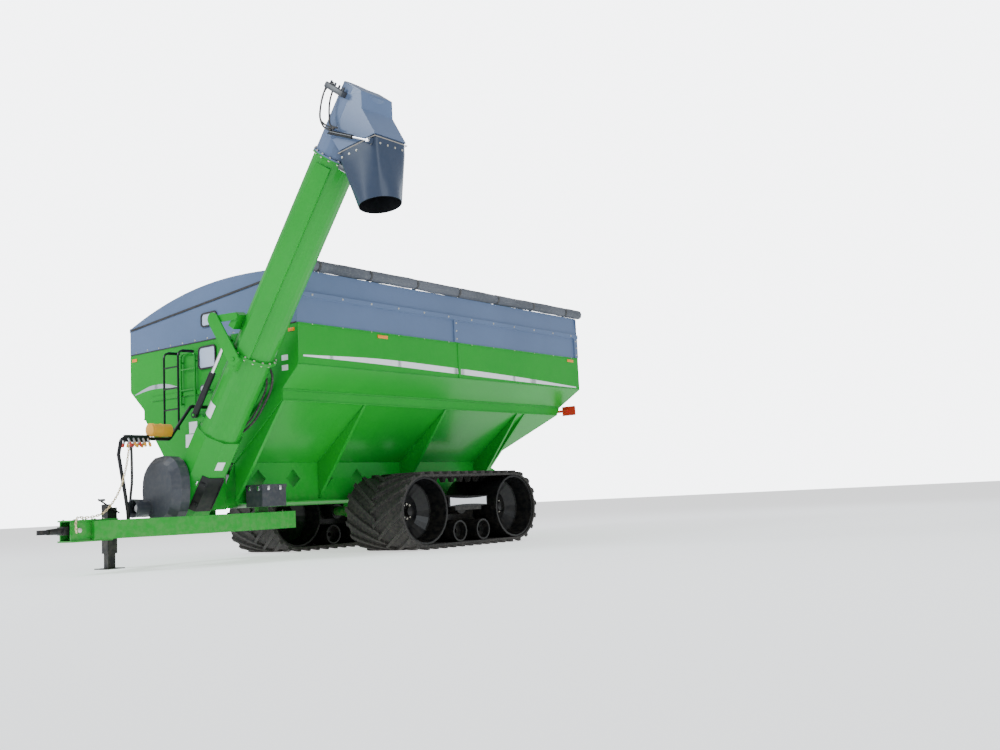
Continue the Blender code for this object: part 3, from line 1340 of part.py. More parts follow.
def lower_ladder():
    """The lower ladder, hung by its bent rails from the top of the fixed one."""
    left, right = LADDER_XS
    hinge_z = LADDER_TOP_Z - 0.004
    reach = LADDER_REAR_Y - 0.020
    rails = [
        bent_bar([(x, reach, hinge_z), (x, LADDER_FRONT_Y, hinge_z - 0.01), (x, LADDER_FRONT_Y, 1.80)], 0.015, 0.07)
        for x in LADDER_XS
    ]
    grips = [bar((x, reach - 0.01, hinge_z), (x, reach - 0.19, hinge_z - 0.006), 0.021, 10) for x in LADDER_XS]
    rungs = [bar((left, LADDER_FRONT_Y, z), (right, LADDER_FRONT_Y, z), 0.012, 8) for z in (*RUNG_ZS, 1.82)]
    part("ladder_lower", "black_paint", [*rails, *grips, *rungs], pivot=(0, reach, hinge_z))


# Free-lying pieces

CHAIN_ROUTE = (
    (0.055, -4.575, 1.575),
    (0.060, -4.590, 1.46),
    (0.085, -4.640, 1.28),
    (0.120, -4.730, 1.06),
    (0.155, -4.850, 0.88),
    (0.180, -5.000, 0.74),
    (0.185, -5.130, 0.694),
    (0.170, -5.260, 0.684),
    (0.176, -5.340, 0.690),
    (0.192, -5.380, 0.655),
    (0.196, -5.385, 0.570),
    (0.180, -5.370, 0.500),
)
CHAIN_RADIUS = 0.016
HOSE_ROUTE = (
    (-0.060, -4.470, 1.570),
    (-0.075, -4.455, 1.440),
    (-0.110, -4.430, 1.280),
    (-0.150, -4.405, 1.100),
    (-0.190, -4.400, 0.920),
    (-0.230, -4.380, 0.760),
    (-0.300, -4.300, 0.680),
    (-0.380, -4.150, 0.672),
    (-0.440, -3.950, 0.672),
    (-0.460, -3.700, 0.690),
)
HOSE_RADIUS = 0.018


def smooth_route(points, spacing):
    """Points at about this spacing on a smooth curve through the route's own points."""
    points = [Vector(p) for p in points]
    padded = [2 * points[0] - points[1], *points, 2 * points[-1] - points[-2]]
    made = []
    for before, start, end, after in zip(padded, padded[1:], padded[2:], padded[3:]):
        steps = max(1, round((end - start).length / spacing))
        for i in range(steps):
            t = i / steps
            made.append(
                0.5
                * (
                    2 * start
                    + (end - before) * t
                    + (2 * before - 5 * start + 4 * end - after) * t**2
                    + (3 * start - before - 3 * end + after) * t**3
                )
            )
    return [*made, points[-1]]


def free_tube(name, finish, route, radius):
    curve = bpy.data.curves.new(name, "CURVE")
    curve.dimensions = "3D"
    curve.bevel_depth = radius
    curve.bevel_resolution = 2
    curve.use_fill_caps = True
    curve.materials.append(material(finish))
    spline = curve.splines.new("POLY")
    points = smooth_route(route, radius * 5)
    spline.points.add(len(points) - 1)
    for point, at in zip(spline.points, points):
        point.co = (*at, 1)
    made = bpy.data.objects.new(name, curve)
    made.parent = CART
    bpy.context.scene.collection.objects.link(made)


def centre_on_floor():
    """Moves the cart so that the origin is at the middle of its box's floor."""
    bpy.context.view_layer.update()
    graph = bpy.context.evaluated_depsgraph_get()
    lows, highs = [math.inf] * 2, [-math.inf] * 2
    for made in bpy.context.scene.collection.objects:
        if made.type not in ("MESH", "CURVE"):
            continue
        evaluated = made.evaluated_get(graph)
        mesh = evaluated.to_mesh()
        for vertex in mesh.vertices:
            at = evaluated.matrix_world @ vertex.co
            for axis in (0, 1):
                lows[axis] = min(lows[axis], at[axis])
                highs[axis] = max(highs[axis], at[axis])
        evaluated.to_mesh_clear()
    CART.location = (-(lows[0] + highs[0]) / 2, -(lows[1] + highs[1]) / 2, 0)


tank_sides()
tank_ends()
boards()
windows()
tarp_roll()
auger_trough()
flow_gate()
frame_sides()
axle_beam()
tongue()
hitch()
jack()
tracks()
lower_auger()
clean_out_door()
upper_auger()
upper_head()
spout()
flighting()
fold_linkage()
gear_case()
hose_rack()
document_box()
tool_box()
rear_lamps()
lower_ladder()
free_tube("safety_chain", "zinc", CHAIN_ROUTE, CHAIN_RADIUS)
free_tube("hydraulic_hose", "rubber", HOSE_ROUTE, HOSE_RADIUS)
centre_on_floor()
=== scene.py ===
"""The finish and the small parts of a tracked grain cart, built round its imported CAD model.

Places are given in the cart's own frame: X is 0 on the centre plane and grows towards the unloading side,
Y is 0 at the middle of the tracks and negative towards the hitch, and Z is 0 on the ground. Metres.
"""

import json
import math

import bmesh
import bpy
from bpy.props import FloatProperty, FloatVectorProperty, IntProperty, PointerProperty
from bpy.types import Operator, Panel, PropertyGroup
from mathutils import Matrix, Vector


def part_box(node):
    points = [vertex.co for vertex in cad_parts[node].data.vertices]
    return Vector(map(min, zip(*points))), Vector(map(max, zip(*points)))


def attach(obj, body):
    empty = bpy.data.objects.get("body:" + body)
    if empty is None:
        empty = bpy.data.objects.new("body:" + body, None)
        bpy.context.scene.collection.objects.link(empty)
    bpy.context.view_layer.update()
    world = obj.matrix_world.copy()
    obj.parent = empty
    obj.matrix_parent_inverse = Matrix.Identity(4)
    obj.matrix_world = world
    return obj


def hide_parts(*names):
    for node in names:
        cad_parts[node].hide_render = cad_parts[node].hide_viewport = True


bl_info = {
    "name": "Grain Cart Finish",
    "version": (1, 0, 0),
    "blender": (4, 5, 0),
    "location": "View3D > Sidebar > Grain Cart",
    "description": "Paint, rubber, tarp, hoses, chain, lamps and fasteners of a tracked grain cart",
    "category": "Object",
}

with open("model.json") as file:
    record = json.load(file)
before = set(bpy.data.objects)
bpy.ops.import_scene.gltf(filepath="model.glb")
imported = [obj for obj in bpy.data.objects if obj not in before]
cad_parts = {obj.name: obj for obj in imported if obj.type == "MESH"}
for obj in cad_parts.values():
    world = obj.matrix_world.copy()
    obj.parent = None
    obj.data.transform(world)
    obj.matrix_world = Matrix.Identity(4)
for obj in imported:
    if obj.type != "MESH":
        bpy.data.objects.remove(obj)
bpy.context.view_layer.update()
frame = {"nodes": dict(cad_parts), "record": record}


def middle_of(*nodes):
    """The centre of the box round these nodes."""
    corners = [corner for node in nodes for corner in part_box(node)]
    return Vector([(min(c[i] for c in corners) + max(c[i] for c in corners)) / 2 for i in range(3)])


ORIGIN = middle_of("wheel_left_front", "wheel_left_rear", "wheel_right_front", "wheel_right_rear")
ORIGIN.z = 0.0

# Measures of the frame that the small parts are placed by
TANK_HALF = 1.83
TANK_FRONT = -3.31
TANK_REAR = 3.09
BOARD_FOOT_Z = 3.025
STRIP_Z = 3.36
STRIP_OUT = 1.858
FLANGE = Vector((1.502, -3.75, 2.62))
LEAN = math.radians(36.64)
ALONG = Vector((math.sin(LEAN), 0, math.cos(LEAN)))
ACROSS = Vector((math.cos(LEAN), 0, -math.sin(LEAN)))
TUBE_RADIUS = 0.265
UPPER_LENGTH = 2.67
RIM_X = (3.405, 3.985)
RIM_TOP_Z = 4.79
RIM_Y = (-4.014, -3.486)
TRACK_MIDDLE = 1.338
WHEEL_Y = 1.04
WHEEL_Z = 0.552
RACK_Z = 1.655
TARP_CENTRE = Vector((1.795, 0, 3.8103))
TARP_RADIUS = 0.080


def cart(x, y, z):
    """A place in the cart's frame, in the model's."""
    return ORIGIN + Vector((x, y, z))


def auger(across, along, depth=0.0):
    """A place from the auger's flange: across and along it, and how far to the rear."""
    return ORIGIN + FLANGE + ACROSS * across + ALONG * along + Vector((0, depth, 0))


# Shader nodes


class Value:
    """A node's output, which takes part in sums as a number does."""

    def __init__(self, maker, socket):
        self.maker, self.socket = maker, socket

    def maths(self, operation, first, second=0.0):
        return self.maker.node("ShaderNodeMath", {"operation": operation}, {0: first, 1: second})

    def __add__(self, other):
        return self.maths("ADD", self, other)

    def __radd__(self, other):
        return self.maths("ADD", other, self)

    def __sub__(self, other):
        return self.maths("SUBTRACT", self, other)

    def __rsub__(self, other):
        return self.maths("SUBTRACT", other, self)

    def __mul__(self, other):
        return self.maths("MULTIPLY", self, other)

    def __rmul__(self, other):
        return self.maths("MULTIPLY", other, self)

    def __truediv__(self, other):
        return self.maths("DIVIDE", self, other)

    def over(self, low, high):
        """0 up to low, 1 from high, and smooth between them."""
        return self.maker.node(
            "ShaderNodeMapRange",
            {"interpolation_type": "SMOOTHSTEP"},
            {"Value": self, "From Min": low, "From Max": high},
        )


class Nodes:
    """Makes and links one material's nodes."""

    def __init__(self, name):
        self.material = bpy.data.materials.new(name)
        self.material.use_nodes = True
        self.tree = self.material.node_tree
        self.shader = self.tree.nodes["Principled BSDF"]

    def put(self, socket, value):
        if isinstance(value, Value):
            self.tree.links.new(value.socket, socket)
        elif isinstance(value, (tuple, list)) and len(value) == 3 and socket.type == "RGBA":
            socket.default_value = (*value, 1)
        else:
            socket.default_value = value

    def node(self, kind, settings=None, inputs=None, output=0):
        made = self.tree.nodes.new(kind)
        for name, value in (settings or {}).items():
            if name == "ramp":
                while len(made.color_ramp.elements) < len(value):
                    made.color_ramp.elements.new(0.5)
                for element, (at, grey) in zip(made.color_ramp.elements, value):
                    element.position, element.color = at, (grey, grey, grey, 1)
            else:
                setattr(made, name, value)
        for name, value in (inputs or {}).items():
            self.put(made.inputs[name], value)
        return Value(self, made.outputs[output])

    def place(self):
        return self.node("ShaderNodeTexCoord", output="Object")

    def noise(self, scale, detail=4.0, stretch=(1, 1, 1), rough=0.55):
        where = self.node("ShaderNodeMapping", {}, {"Vector": self.place(), "Scale": stretch})
        return self.node("ShaderNodeTexNoise", {}, {"Vector": where, "Scale": scale, "Detail": detail, "Roughness": rough})

    def axis(self, name):
        return self.node("ShaderNodeSeparateXYZ", {}, {0: self.place()}, output="XYZ".index(name))

    def facing(self, name):
        """How far the surface faces along an axis of the model, from -1 to 1."""
        normal = self.node("ShaderNodeNewGeometry", output="Normal")
        return self.node("ShaderNodeSeparateXYZ", {}, {0: normal}, output="XYZ".index(name))

    def mix(self, factor, first, second):
        made = self.tree.nodes.new("ShaderNodeMix")
        made.data_type = "RGBA"
        self.put(made.inputs["Factor"], factor)
        self.put(made.inputs["A"], first)
        self.put(made.inputs["B"], second)
        return Value(self, made.outputs["Result"])

    def bump(self, height, strength, distance, normal=None):
        inputs = {"Height": height, "Strength": strength, "Distance": distance}
        if normal is not None:
            inputs["Normal"] = normal
        return self.node("ShaderNodeBump", {}, inputs)

    def edges(self, radius):
        """The normal with its edges rounded, and a mask of those edges."""
        rounded = self.node("ShaderNodeBevel", {"samples": 4}, {"Radius": radius}, output="Normal")
        flat = self.node("ShaderNodeNewGeometry", output="Normal")
        made = self.tree.nodes.new("ShaderNodeVectorMath")
        made.operation = "DOT_PRODUCT"
        self.put(made.inputs[0], rounded)
        self.put(made.inputs[1], flat)
        return rounded, 1 - Value(self, made.outputs["Value"])

    def finish(self, **inputs):
        for name, value in inputs.items():
            self.put(self.shader.inputs[name.replace("_", " ")], value)
        return self.material


# Finishes


def coat_of_paint(name, colour, rough=0.32, dust=0.5, wear=(0.30, 0.31, 0.32), coat=0.12):
    """Sprayed enamel: slight orange peel, rain streaks, dust low down and on ledges, and rubbed edges."""
    n = Nodes(name)
    broad = n.noise(0.9, 3)
    fine = n.noise(14, 6)
    streaks = n.noise(5, 5, (1.0, 1.0, 0.09))
    soft, edge = n.edges(0.006)
    tone = n.mix(broad.over(0.3, 0.7) * 0.45, colour, tuple(c * 0.80 for c in colour))
    tone = n.mix(streaks.over(0.52, 0.78) * 0.14, tone, tuple(min(1, c * 0.95 + 0.02) for c in colour))
    low = 1 - n.axis("Z").over(0.25, 1.25)
    ledge = n.facing("Z").over(0.55, 0.98)
    dirt = (low * 0.40 + ledge * 0.14 + 0.04) * fine.over(0.34, 0.66) * dust
    tone = n.mix(dirt, tone, (0.30, 0.26, 0.19))
    rubbed = edge.over(0.03, 0.22) * n.noise(38, 3).over(0.56, 0.70)
    tone = n.mix(rubbed * 0.6, tone, wear)
    peel = n.bump(n.noise(160, 2), 0.06, 0.002, soft)
    return n.finish(
        Base_Color=tone, Roughness=dirt * 0.5 + fine * 0.10 + (rough - 0.05), Normal=peel, Coat_Weight=coat,
        Coat_Roughness=0.12, Specular_IOR_Level=0.22,
    )


def belt_rubber():
    """Vulcanised rubber with dry soil in the lugs' roots and over the tread."""
    n = Nodes("belt_rubber")
    soft, edge = n.edges(0.008)
    coarse, fine = n.noise(3.2, 6), n.noise(26, 8, rough=0.7)
    tone = n.mix(coarse.over(0.35, 0.65) * 0.6, (0.014, 0.014, 0.014), (0.026, 0.025, 0.024))
    soil = fine.over(0.40, 0.68) * 0.55 + coarse.over(0.5, 0.8) * 0.30
    tone = n.mix(soil * 0.55, tone, (0.13, 0.11, 0.09))
    tone = n.mix(edge.over(0.04, 0.3) * 0.30, tone, (0.15, 0.135, 0.115))
    rough = n.bump(fine + coarse * 2.0, 0.35, 0.006, soft)
    return n.finish(Base_Color=tone, Roughness=0.80 + fine * 0.15, Normal=rough)


def moulded(name, colour, rough=0.5, grain=0.25, dust=0.35):
    """Moulded plastic with a fine grain and settled dust."""
    n = Nodes(name)
    soft, edge = n.edges(0.006)
    fine, broad = n.noise(18, 6), n.noise(1.6, 3)
    tone = n.mix(broad.over(0.35, 0.7) * 0.35, colour, tuple(c * 0.75 for c in colour))
    dirt = (n.facing("Z").over(0.4, 0.95) * 0.5 + 0.12) * fine.over(0.38, 0.68) * dust
    tone = n.mix(dirt, tone, (0.42, 0.38, 0.31))
    tone = n.mix(edge.over(0.05, 0.3) * 0.3, tone, tuple(min(1, c * 1.6 + 0.05) for c in colour))
    pebble = n.bump(n.noise(420, 3), grain, 0.001, soft)
    return n.finish(Base_Color=tone, Roughness=dirt * 0.4 + fine * 0.12 + (rough - 0.06), Normal=pebble)


def bare_metal(name, colour, rough=0.34, stain=(0.20, 0.15, 0.11), age=0.3):
    """Plated or ground metal: fine scratches, with stain where it's handled least."""
    n = Nodes(name)
    soft, _ = n.edges(0.003)
    fine, broad = n.noise(60, 5), n.noise(7, 5)
    spots = broad.over(0.48, 0.72) * age
    tone = n.mix(spots, colour, stain)
    scratches = n.bump(n.noise(240, 2, (1, 1, 12)), 0.10, 0.0008, soft)
    return n.finish(Base_Color=tone, Metallic=1 - spots, Roughness=fine * 0.2 + spots * 0.5 + (rough - 0.1), Normal=scratches)


def pane_with_painted_reflection():
    """A clear window over the dark inside of the tank, milky with dust, with a light sky-blue tone that is a painted
    reflection.
    """
    n = Nodes("window_pane_painted_reflection")
    haze, spots = n.noise(2.4, 4), n.noise(30, 6)
    # The light sky-blue tone is a painted reflection of the sky; the haze and the brown spots are dust.
    tone = n.mix(haze.over(0.3, 0.7) * 0.5, (0.47, 0.56, 0.74), (0.60, 0.66, 0.76))
    tone = n.mix(spots.over(0.55, 0.8) * 0.25, tone, (0.45, 0.42, 0.36))
    return n.finish(Base_Color=tone, Roughness=spots * 0.2 + 0.10, Coat_Weight=0.6)


def lens(name, colour):
    """A moulded lens with fine ribs."""
    n = Nodes(name)
    ribs = n.node("ShaderNodeTexWave", {"bands_direction": "X"}, {"Vector": n.place(), "Scale": 60.0, "Distortion": 0.0}, output="Fac")
    fine = n.noise(22, 5)
    tone = n.mix(fine.over(0.45, 0.8) * 0.25, colour, tuple(c * 0.6 for c in colour))
    return n.finish(Base_Color=tone, Roughness=fine * 0.15 + 0.12, Normal=n.bump(ribs, 0.35, 0.002), Coat_Weight=0.7)


def tarp_cloth():
    """Coated woven cloth: crossed threads, creases and dust."""
    n = Nodes("tarp_cloth")
    threads = n.node("ShaderNodeTexWave", {"bands_direction": "Y"}, {"Vector": n.place(), "Scale": 95.0}, output="Fac")
    cross = n.node("ShaderNodeTexWave", {"bands_direction": "Z"}, {"Vector": n.place(), "Scale": 95.0}, output="Fac")
    fine, broad = n.noise(24, 6), n.noise(2.5, 4, (1, 0.4, 1))
    tone = n.mix(broad.over(0.3, 0.7), (0.105, 0.115, 0.14), (0.060, 0.068, 0.085))
    tone = n.mix(fine.over(0.45, 0.75) * 0.30, tone, (0.22, 0.22, 0.21))
    weave = n.bump(threads * cross + fine * 0.6, 0.4, 0.0015)
    return n.finish(Base_Color=tone, Roughness=0.62 + fine * 0.2, Normal=weave)


def hose_cover(name, colour, dust=0.3):
    """Rubber hose cover with the faint spiral that its wrapping leaves."""
    n = Nodes(name)
    fine = n.noise(34, 6)
    bands = n.node("ShaderNodeTexWave", {"bands_direction": "Z"}, {"Vector": n.place(), "Scale": 55.0, "Distortion": 1.2}, output="Fac")
    tone = n.mix(fine.over(0.4, 0.75) * dust, colour, (0.30, 0.26, 0.21))
    return n.finish(Base_Color=tone, Roughness=0.5 + fine * 0.25, Normal=n.bump(bands + fine, 0.25, 0.001))


def film(name, colour):
    """Printed film, a little chalked."""
    n = Nodes(name)
    fine = n.noise(20, 6)
    tone = n.mix(fine.over(0.45, 0.8) * 0.22, colour, tuple(c * 0.72 for c in colour))
    return n.finish(Base_Color=tone, Roughness=fine * 0.2 + 0.25, Coat_Weight=0.3)


FINISH = {}


def make_finishes(sizes):
    green = tuple(sizes.green)
    FINISH.update(
        green=coat_of_paint("green_enamel", green, 0.30, 0.40),
        # A copy of the green at 0.85 of its brightness for the beams under the tank: painted shade, with more dust as
        # well.
        green_dark=coat_of_paint("green_enamel_shaded_dusty", tuple(c * 0.85 for c in green), 0.34, 0.75),
        grey=coat_of_paint("grey_enamel", tuple(sizes.grey), 0.36, 0.30, (0.45, 0.45, 0.45)),
        black=coat_of_paint("black_enamel", (0.006, 0.007, 0.009), 0.36, 0.25, (0.20, 0.20, 0.20)),
        rim=coat_of_paint("wheel_enamel", (0.0035, 0.004, 0.005), 0.30, 0.10, (0.10, 0.10, 0.10)),
        rubber=belt_rubber(),
        plastic=moulded("guard_plastic", (0.035, 0.040, 0.052), 0.42),
        toolbox=moulded("toolbox_plastic", (0.026, 0.030, 0.040), 0.46, 0.4, 0.5),
        yellow=moulded("yellow_plastic", tuple(sizes.yellow), 0.38, 0.15),
        steel=bare_metal("ground_steel", (0.55, 0.55, 0.56)),
        chrome=bare_metal("plated_rod", (0.80, 0.80, 0.82), 0.16, (0.5, 0.5, 0.5), 0.1),
        bolt=bare_metal("zinc_bolt", (0.62, 0.60, 0.52), 0.36, (0.30, 0.24, 0.16), 0.35),
        chain=bare_metal("chain_zinc", (0.78, 0.63, 0.40), 0.40, (0.42, 0.30, 0.18), 0.30),
        pane=pane_with_painted_reflection(),
        red=lens("red_lens", (0.62, 0.018, 0.012)),
        amber=lens("amber_lens", (0.85, 0.24, 0.012)),
        clear=lens("clear_lens", (0.72, 0.74, 0.78)),
        tarp=tarp_cloth(),
        strap=hose_cover("tarp_strap", (0.045, 0.048, 0.055)),
        hose=hose_cover("hose_rubber", (0.014, 0.014, 0.016)),
        gasket=hose_cover("gasket_rubber", (0.012, 0.012, 0.014), 0.15),
        white=film("white_film", (0.80, 0.82, 0.85)),
        silver=film("silver_film", (0.42, 0.46, 0.50)),
        seal=film("seal_strip", (0.30, 0.27, 0.23)),
        cap_red=moulded("red_cap", (0.55, 0.035, 0.020), 0.4, 0.1),
        cap_yellow=moulded("yellow_cap", (0.80, 0.36, 0.02), 0.4, 0.1),
        # A near-black film for the spout's inside: painted shade.
        void=film("spout_inside_painted_shade", (0.010, 0.011, 0.013)),
        slate=coat_of_paint("spout_enamel", tuple(c * 0.30 for c in sizes.grey), 0.34, 0.30, (0.30, 0.31, 0.33)),
    )


# Shapes, added to a bmesh


def add_block(bm, low, high, bevel=0.0, matrix=None):
    made = bmesh.ops.create_cube(bm, size=1)["verts"]
    size = [b - a for a, b in zip(low, high)]
    centre = [(a + b) / 2 for a, b in zip(low, high)]
    bmesh.ops.scale(bm, vec=size, verts=made)
    bmesh.ops.translate(bm, vec=centre, verts=made)
    if bevel:
        edges = list({edge for vert in made for edge in vert.link_edges})
        made = bmesh.ops.bevel(
            bm, geom=edges, offset=bevel, segments=2, profile=0.5, affect="EDGES", material=-1, offset_type="OFFSET"
        )["verts"]
    if matrix is not None:
        bmesh.ops.transform(bm, matrix=matrix, verts=made)
    return made


def add_bar(bm, start, end, radius, sides=16, end_radius=None, bevel=0.0):
    start, end = Vector(start), Vector(end)
    turn = Vector((0, 0, 1)).rotation_difference(end - start).to_matrix().to_4x4()
    made = bmesh.ops.create_cone(
        bm,
        cap_ends=True,
        segments=sides,
        radius1=radius,
        radius2=radius if end_radius is None else end_radius,
        depth=(end - start).length,
        matrix=Matrix.Translation((start + end) / 2) @ turn,
    )["verts"]
    if bevel:
        edges = [e for e in {e for v in made for e in v.link_edges} if any(len(f.verts) > 4 for f in e.link_faces)]
        bmesh.ops.bevel(
            bm, geom=edges, offset=bevel, segments=2, profile=0.5, affect="EDGES", material=-1, offset_type="OFFSET"
        )
    return made


def add_bolt(bm, place, way, size=0.012):
    """A hexagon head on its washer."""
    way = Vector(way).normalized()
    place = Vector(place)
    add_bar(bm, place - way * 0.002, place + way * size * 0.22, size * 1.45, 14)
    add_bar(bm, place + way * size * 0.2, place + way * size * 0.95, size, 6, size * 0.94)


def add_ring(bm, centre, way, radius, wire, steps=24, sides=8, stretch=0.0):
    """A torus, or a link where stretch parts its two halves."""
    way = Vector(way).normalized()
    circle = bmesh.ops.create_circle(bm, segments=sides, radius=wire)
    verts = circle["verts"]
    bmesh.ops.rotate(bm, cent=(0, 0, 0), matrix=Matrix.Rotation(math.pi / 2, 3, "X"), verts=verts)
    bmesh.ops.translate(bm, vec=(radius, 0, 0), verts=verts)
    edges = list({e for v in verts for e in v.link_edges})
    start = set(bm.verts) - set(verts)
    bmesh.ops.spin(bm, geom=verts + edges, cent=(0, 0, 0), axis=(0, 0, 1), angle=math.tau, steps=steps, use_merge=True)
    made = [v for v in bm.verts if v not in start]
    for vert in made:
        if stretch:
            vert.co.x += math.copysign(stretch / 2, vert.co.x) if abs(vert.co.x) > 1e-5 else 0
    turn = Vector((0, 0, 1)).rotation_difference(way).to_matrix().to_4x4()
    bmesh.ops.transform(bm, matrix=Matrix.Translation(Vector(centre)) @ turn, verts=made)
    return made


def add_sheet(bm, outline, lift):
    """A thin plate over an outline of points, lifted along its own normal."""
    face = bm.faces.new([bm.verts.new(Vector(p)) for p in outline])
    face.normal_update()
    if face.normal.dot(Vector(lift)) < 0:
        face.normal_flip()
    made = bmesh.ops.extrude_face_region(bm, geom=[face])["geom"]
    verts = [v for v in made if isinstance(v, bmesh.types.BMVert)]
    bmesh.ops.translate(bm, vec=Vector(lift), verts=verts)


def piece(name, bm, finish, body, smooth=True):
    """The bmesh as a finished piece that rides on a body."""
    bmesh.ops.remove_doubles(bm, verts=bm.verts, dist=1e-6)
    bmesh.ops.recalc_face_normals(bm, faces=bm.faces)
    mesh = bpy.data.meshes.new(name)
    bm.to_mesh(mesh)
    bm.free()
    mesh.materials.append(FINISH[finish])
    if smooth:
        mesh.shade_smooth()
        mesh.set_sharp_from_angle(angle=math.radians(38))
    made = bpy.data.objects.new(name, mesh)
    bpy.context.scene.collection.objects.link(made)
    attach(made, body)
    return made


def on_loop(x, share, radius):
    """A place on the loop round a track's two wheels, from a share of its length at this radius."""
    straight, arc = 2 * WHEEL_Y, math.pi * 0.51
    at = (share % 1) * (2 * straight + 2 * arc)
    if at < straight:
        return cart(x, -WHEEL_Y + at, WHEEL_Z - radius)
    if at < straight + arc:
        turn = (at - straight) / 0.51
        return cart(x, WHEEL_Y + radius * math.sin(turn), WHEEL_Z - radius * math.cos(turn))
    if at < 2 * straight + arc:
        return cart(x, WHEEL_Y - (at - straight - arc), WHEEL_Z + radius)
    turn = (at - 2 * straight - arc) / 0.51
    return cart(x, -WHEEL_Y - radius * math.sin(turn), WHEEL_Z + radius * math.cos(turn))


def smooth_route(points, spacing):
    """Points at about this spacing on a smooth curve through the route's own points."""
    points = [Vector(p) for p in points]
    padded = [2 * points[0] - points[1], *points, 2 * points[-1] - points[-2]]
    made = []
    for before, start, end, after in zip(padded, padded[1:], padded[2:], padded[3:]):
        steps = max(1, round((end - start).length / spacing))
        for i in range(steps):
            t = i / steps
            made.append(
                0.5
                * (
                    2 * start
                    + (end - before) * t
                    + (2 * before - 5 * start + 4 * end - after) * t**2
                    + (3 * start - before - 3 * end + after) * t**3
                )
            )
    return [*made, points[-1]]


def route_length(points):
    return sum((b - a).length for a, b in zip(points, points[1:]))


def hose(name, route, radius, finish, body, declare=True, spacing=None):
    """A hose as one open curve."""
    points = smooth_route([cart(*p) for p in route], spacing or radius * 3)
    curve = bpy.data.curves.new(name, "CURVE")
    curve.dimensions = "3D"
    curve.bevel_depth = radius
    curve.bevel_resolution = 4
    curve.use_fill_caps = True
    curve.materials.append(FINISH[finish])
    spline = curve.splines.new("POLY")
    spline.points.add(len(points) - 1)
    spline.use_smooth = True
    for point, place in zip(spline.points, points):
        point.co = (*place, 1)
    made = bpy.data.objects.new(name, curve)
    bpy.context.scene.collection.objects.link(made)
    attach(made, body)
    if declare:
        tuple(points[0])
        route_length(points)
    return made


# What a user may change


class GrainCartSizes(PropertyGroup):
    green: FloatVectorProperty(
        name="Green", description="Colour of the tank and frame", subtype="COLOR", size=3, min=0, max=1,
        default=(0.004, 0.300, 0.022),
    )
    grey: FloatVectorProperty(
        name="Grey", description="Colour of the boards and spout", subtype="COLOR", size=3, min=0, max=1,
        default=(0.112, 0.165, 0.285),
    )
    yellow: FloatVectorProperty(
        name="Yellow", description="Colour of the document tube", subtype="COLOR", size=3, min=0, max=1,
        default=(0.86, 0.40, 0.035),
    )
    bolt: FloatProperty(name="Bolt", description="Half the width of a bolt's head", unit="LENGTH", default=0.012, min=0.004)
    strap_count: IntProperty(name="Tarp straps", description="Straps round the tarp roll", default=7, min=2, max=12)
    flange_bolts: IntProperty(name="Flange bolts", description="Bolts round each flange", default=16, min=6, max=32)
    wheel_bolts: IntProperty(name="Wheel bolts", description="Bolts round each wheel's hub", default=10, min=4, max=16)
    guide_lugs: IntProperty(name="Guide lugs", description="Guide lugs inside each belt", default=36, min=12, max=60)
    tread_lugs: IntProperty(name="Tread lugs", description="Lugs in each half of a belt's tread", default=38, min=12, max=80)
    key_light: FloatProperty(name="Key light", description="Power of the key light", subtype="POWER", default=2300, min=0)


def sizes_of(context):
    return context.scene.grain_cart


# Operators


class OBJECT_OT_cart_stage(Operator):
    """Set the floor, the soft studio light and the camera"""

    bl_idname = "object.cart_stage"
    bl_label = "Stage"

    def execute(self, context):
        scene = context.scene
        eye = cart(12.049, -12.395, 0.661)
        yaw, pitch, roll = math.radians(37.632), math.radians(6.607), math.radians(-2.793)
        ahead = Vector((-math.sin(yaw) * math.cos(pitch), math.cos(yaw) * math.cos(pitch), math.sin(pitch)))
        level = Vector((math.cos(yaw), math.sin(yaw), 0))
        up = level.cross(ahead)
        right = math.cos(roll) * level + math.sin(roll) * up
        upright = -math.sin(roll) * level + math.cos(roll) * up
        data = bpy.data.cameras.new("camera")
        data.sensor_width = 36.0
        data.lens = 38.56
        data.clip_end = 500
        camera = bpy.data.objects.new("camera", data)
        camera.matrix_world = Matrix.Translation(eye) @ Matrix((right, upright, -ahead)).transposed().to_4x4()
        scene.collection.objects.link(camera)
        scene.camera = camera

        bm = bmesh.new()
        bmesh.ops.create_grid(bm, x_segments=1, y_segments=1, size=120)
        mesh = bpy.data.meshes.new("floor")
        bm.to_mesh(mesh)
        bm.free()
        ground = Nodes("floor_white")
        ground.finish(Base_Color=(0.90, 0.91, 0.92), Roughness=0.9, Emission_Color=(1, 1, 1), Emission_Strength=0.9)
        mesh.materials.append(ground.material)
        floor = bpy.data.objects.new("floor", mesh)
        scene.collection.objects.link(floor)

        world = bpy.data.worlds.new("studio")
        world.use_nodes = True
        sky = world.node_tree.nodes["Background"]
        sky.inputs["Color"].default_value = (0.95, 0.97, 1.0, 1)
        links = world.node_tree.links
        seen = world.node_tree.nodes.new("ShaderNodeLightPath")
        strength = world.node_tree.nodes.new("ShaderNodeMapRange")
        strength.inputs["To Min"].default_value, strength.inputs["To Max"].default_value = 0.62, 6.0
        links.new(seen.outputs["Is Camera Ray"], strength.inputs["Value"])
        links.new(strength.outputs["Result"], sky.inputs["Strength"])
        scene.world = world

        target = cart(0, 0, 2.0)
        power = sizes_of(context).key_light
        for name, place, size, watts in (
            ("key", cart(-5, -15, 13), 7.0, power),
            ("side", cart(16, -5, 9), 9.0, power * 0.34),
            ("rim", cart(4, 15, 12), 9.0, power * 0.3),
        ):
            light = bpy.data.lights.new(name, "AREA")
            light.shape, light.size, light.energy = "DISK", size, watts
            light.color = (0.86, 0.94, 1.0)
            lamp = bpy.data.objects.new(name, light)
            lamp.matrix_world = Matrix.Translation(place) @ (target - place).to_track_quat("-Z", "Y").to_matrix().to_4x4()
            scene.collection.objects.link(lamp)
        return {"FINISHED"}


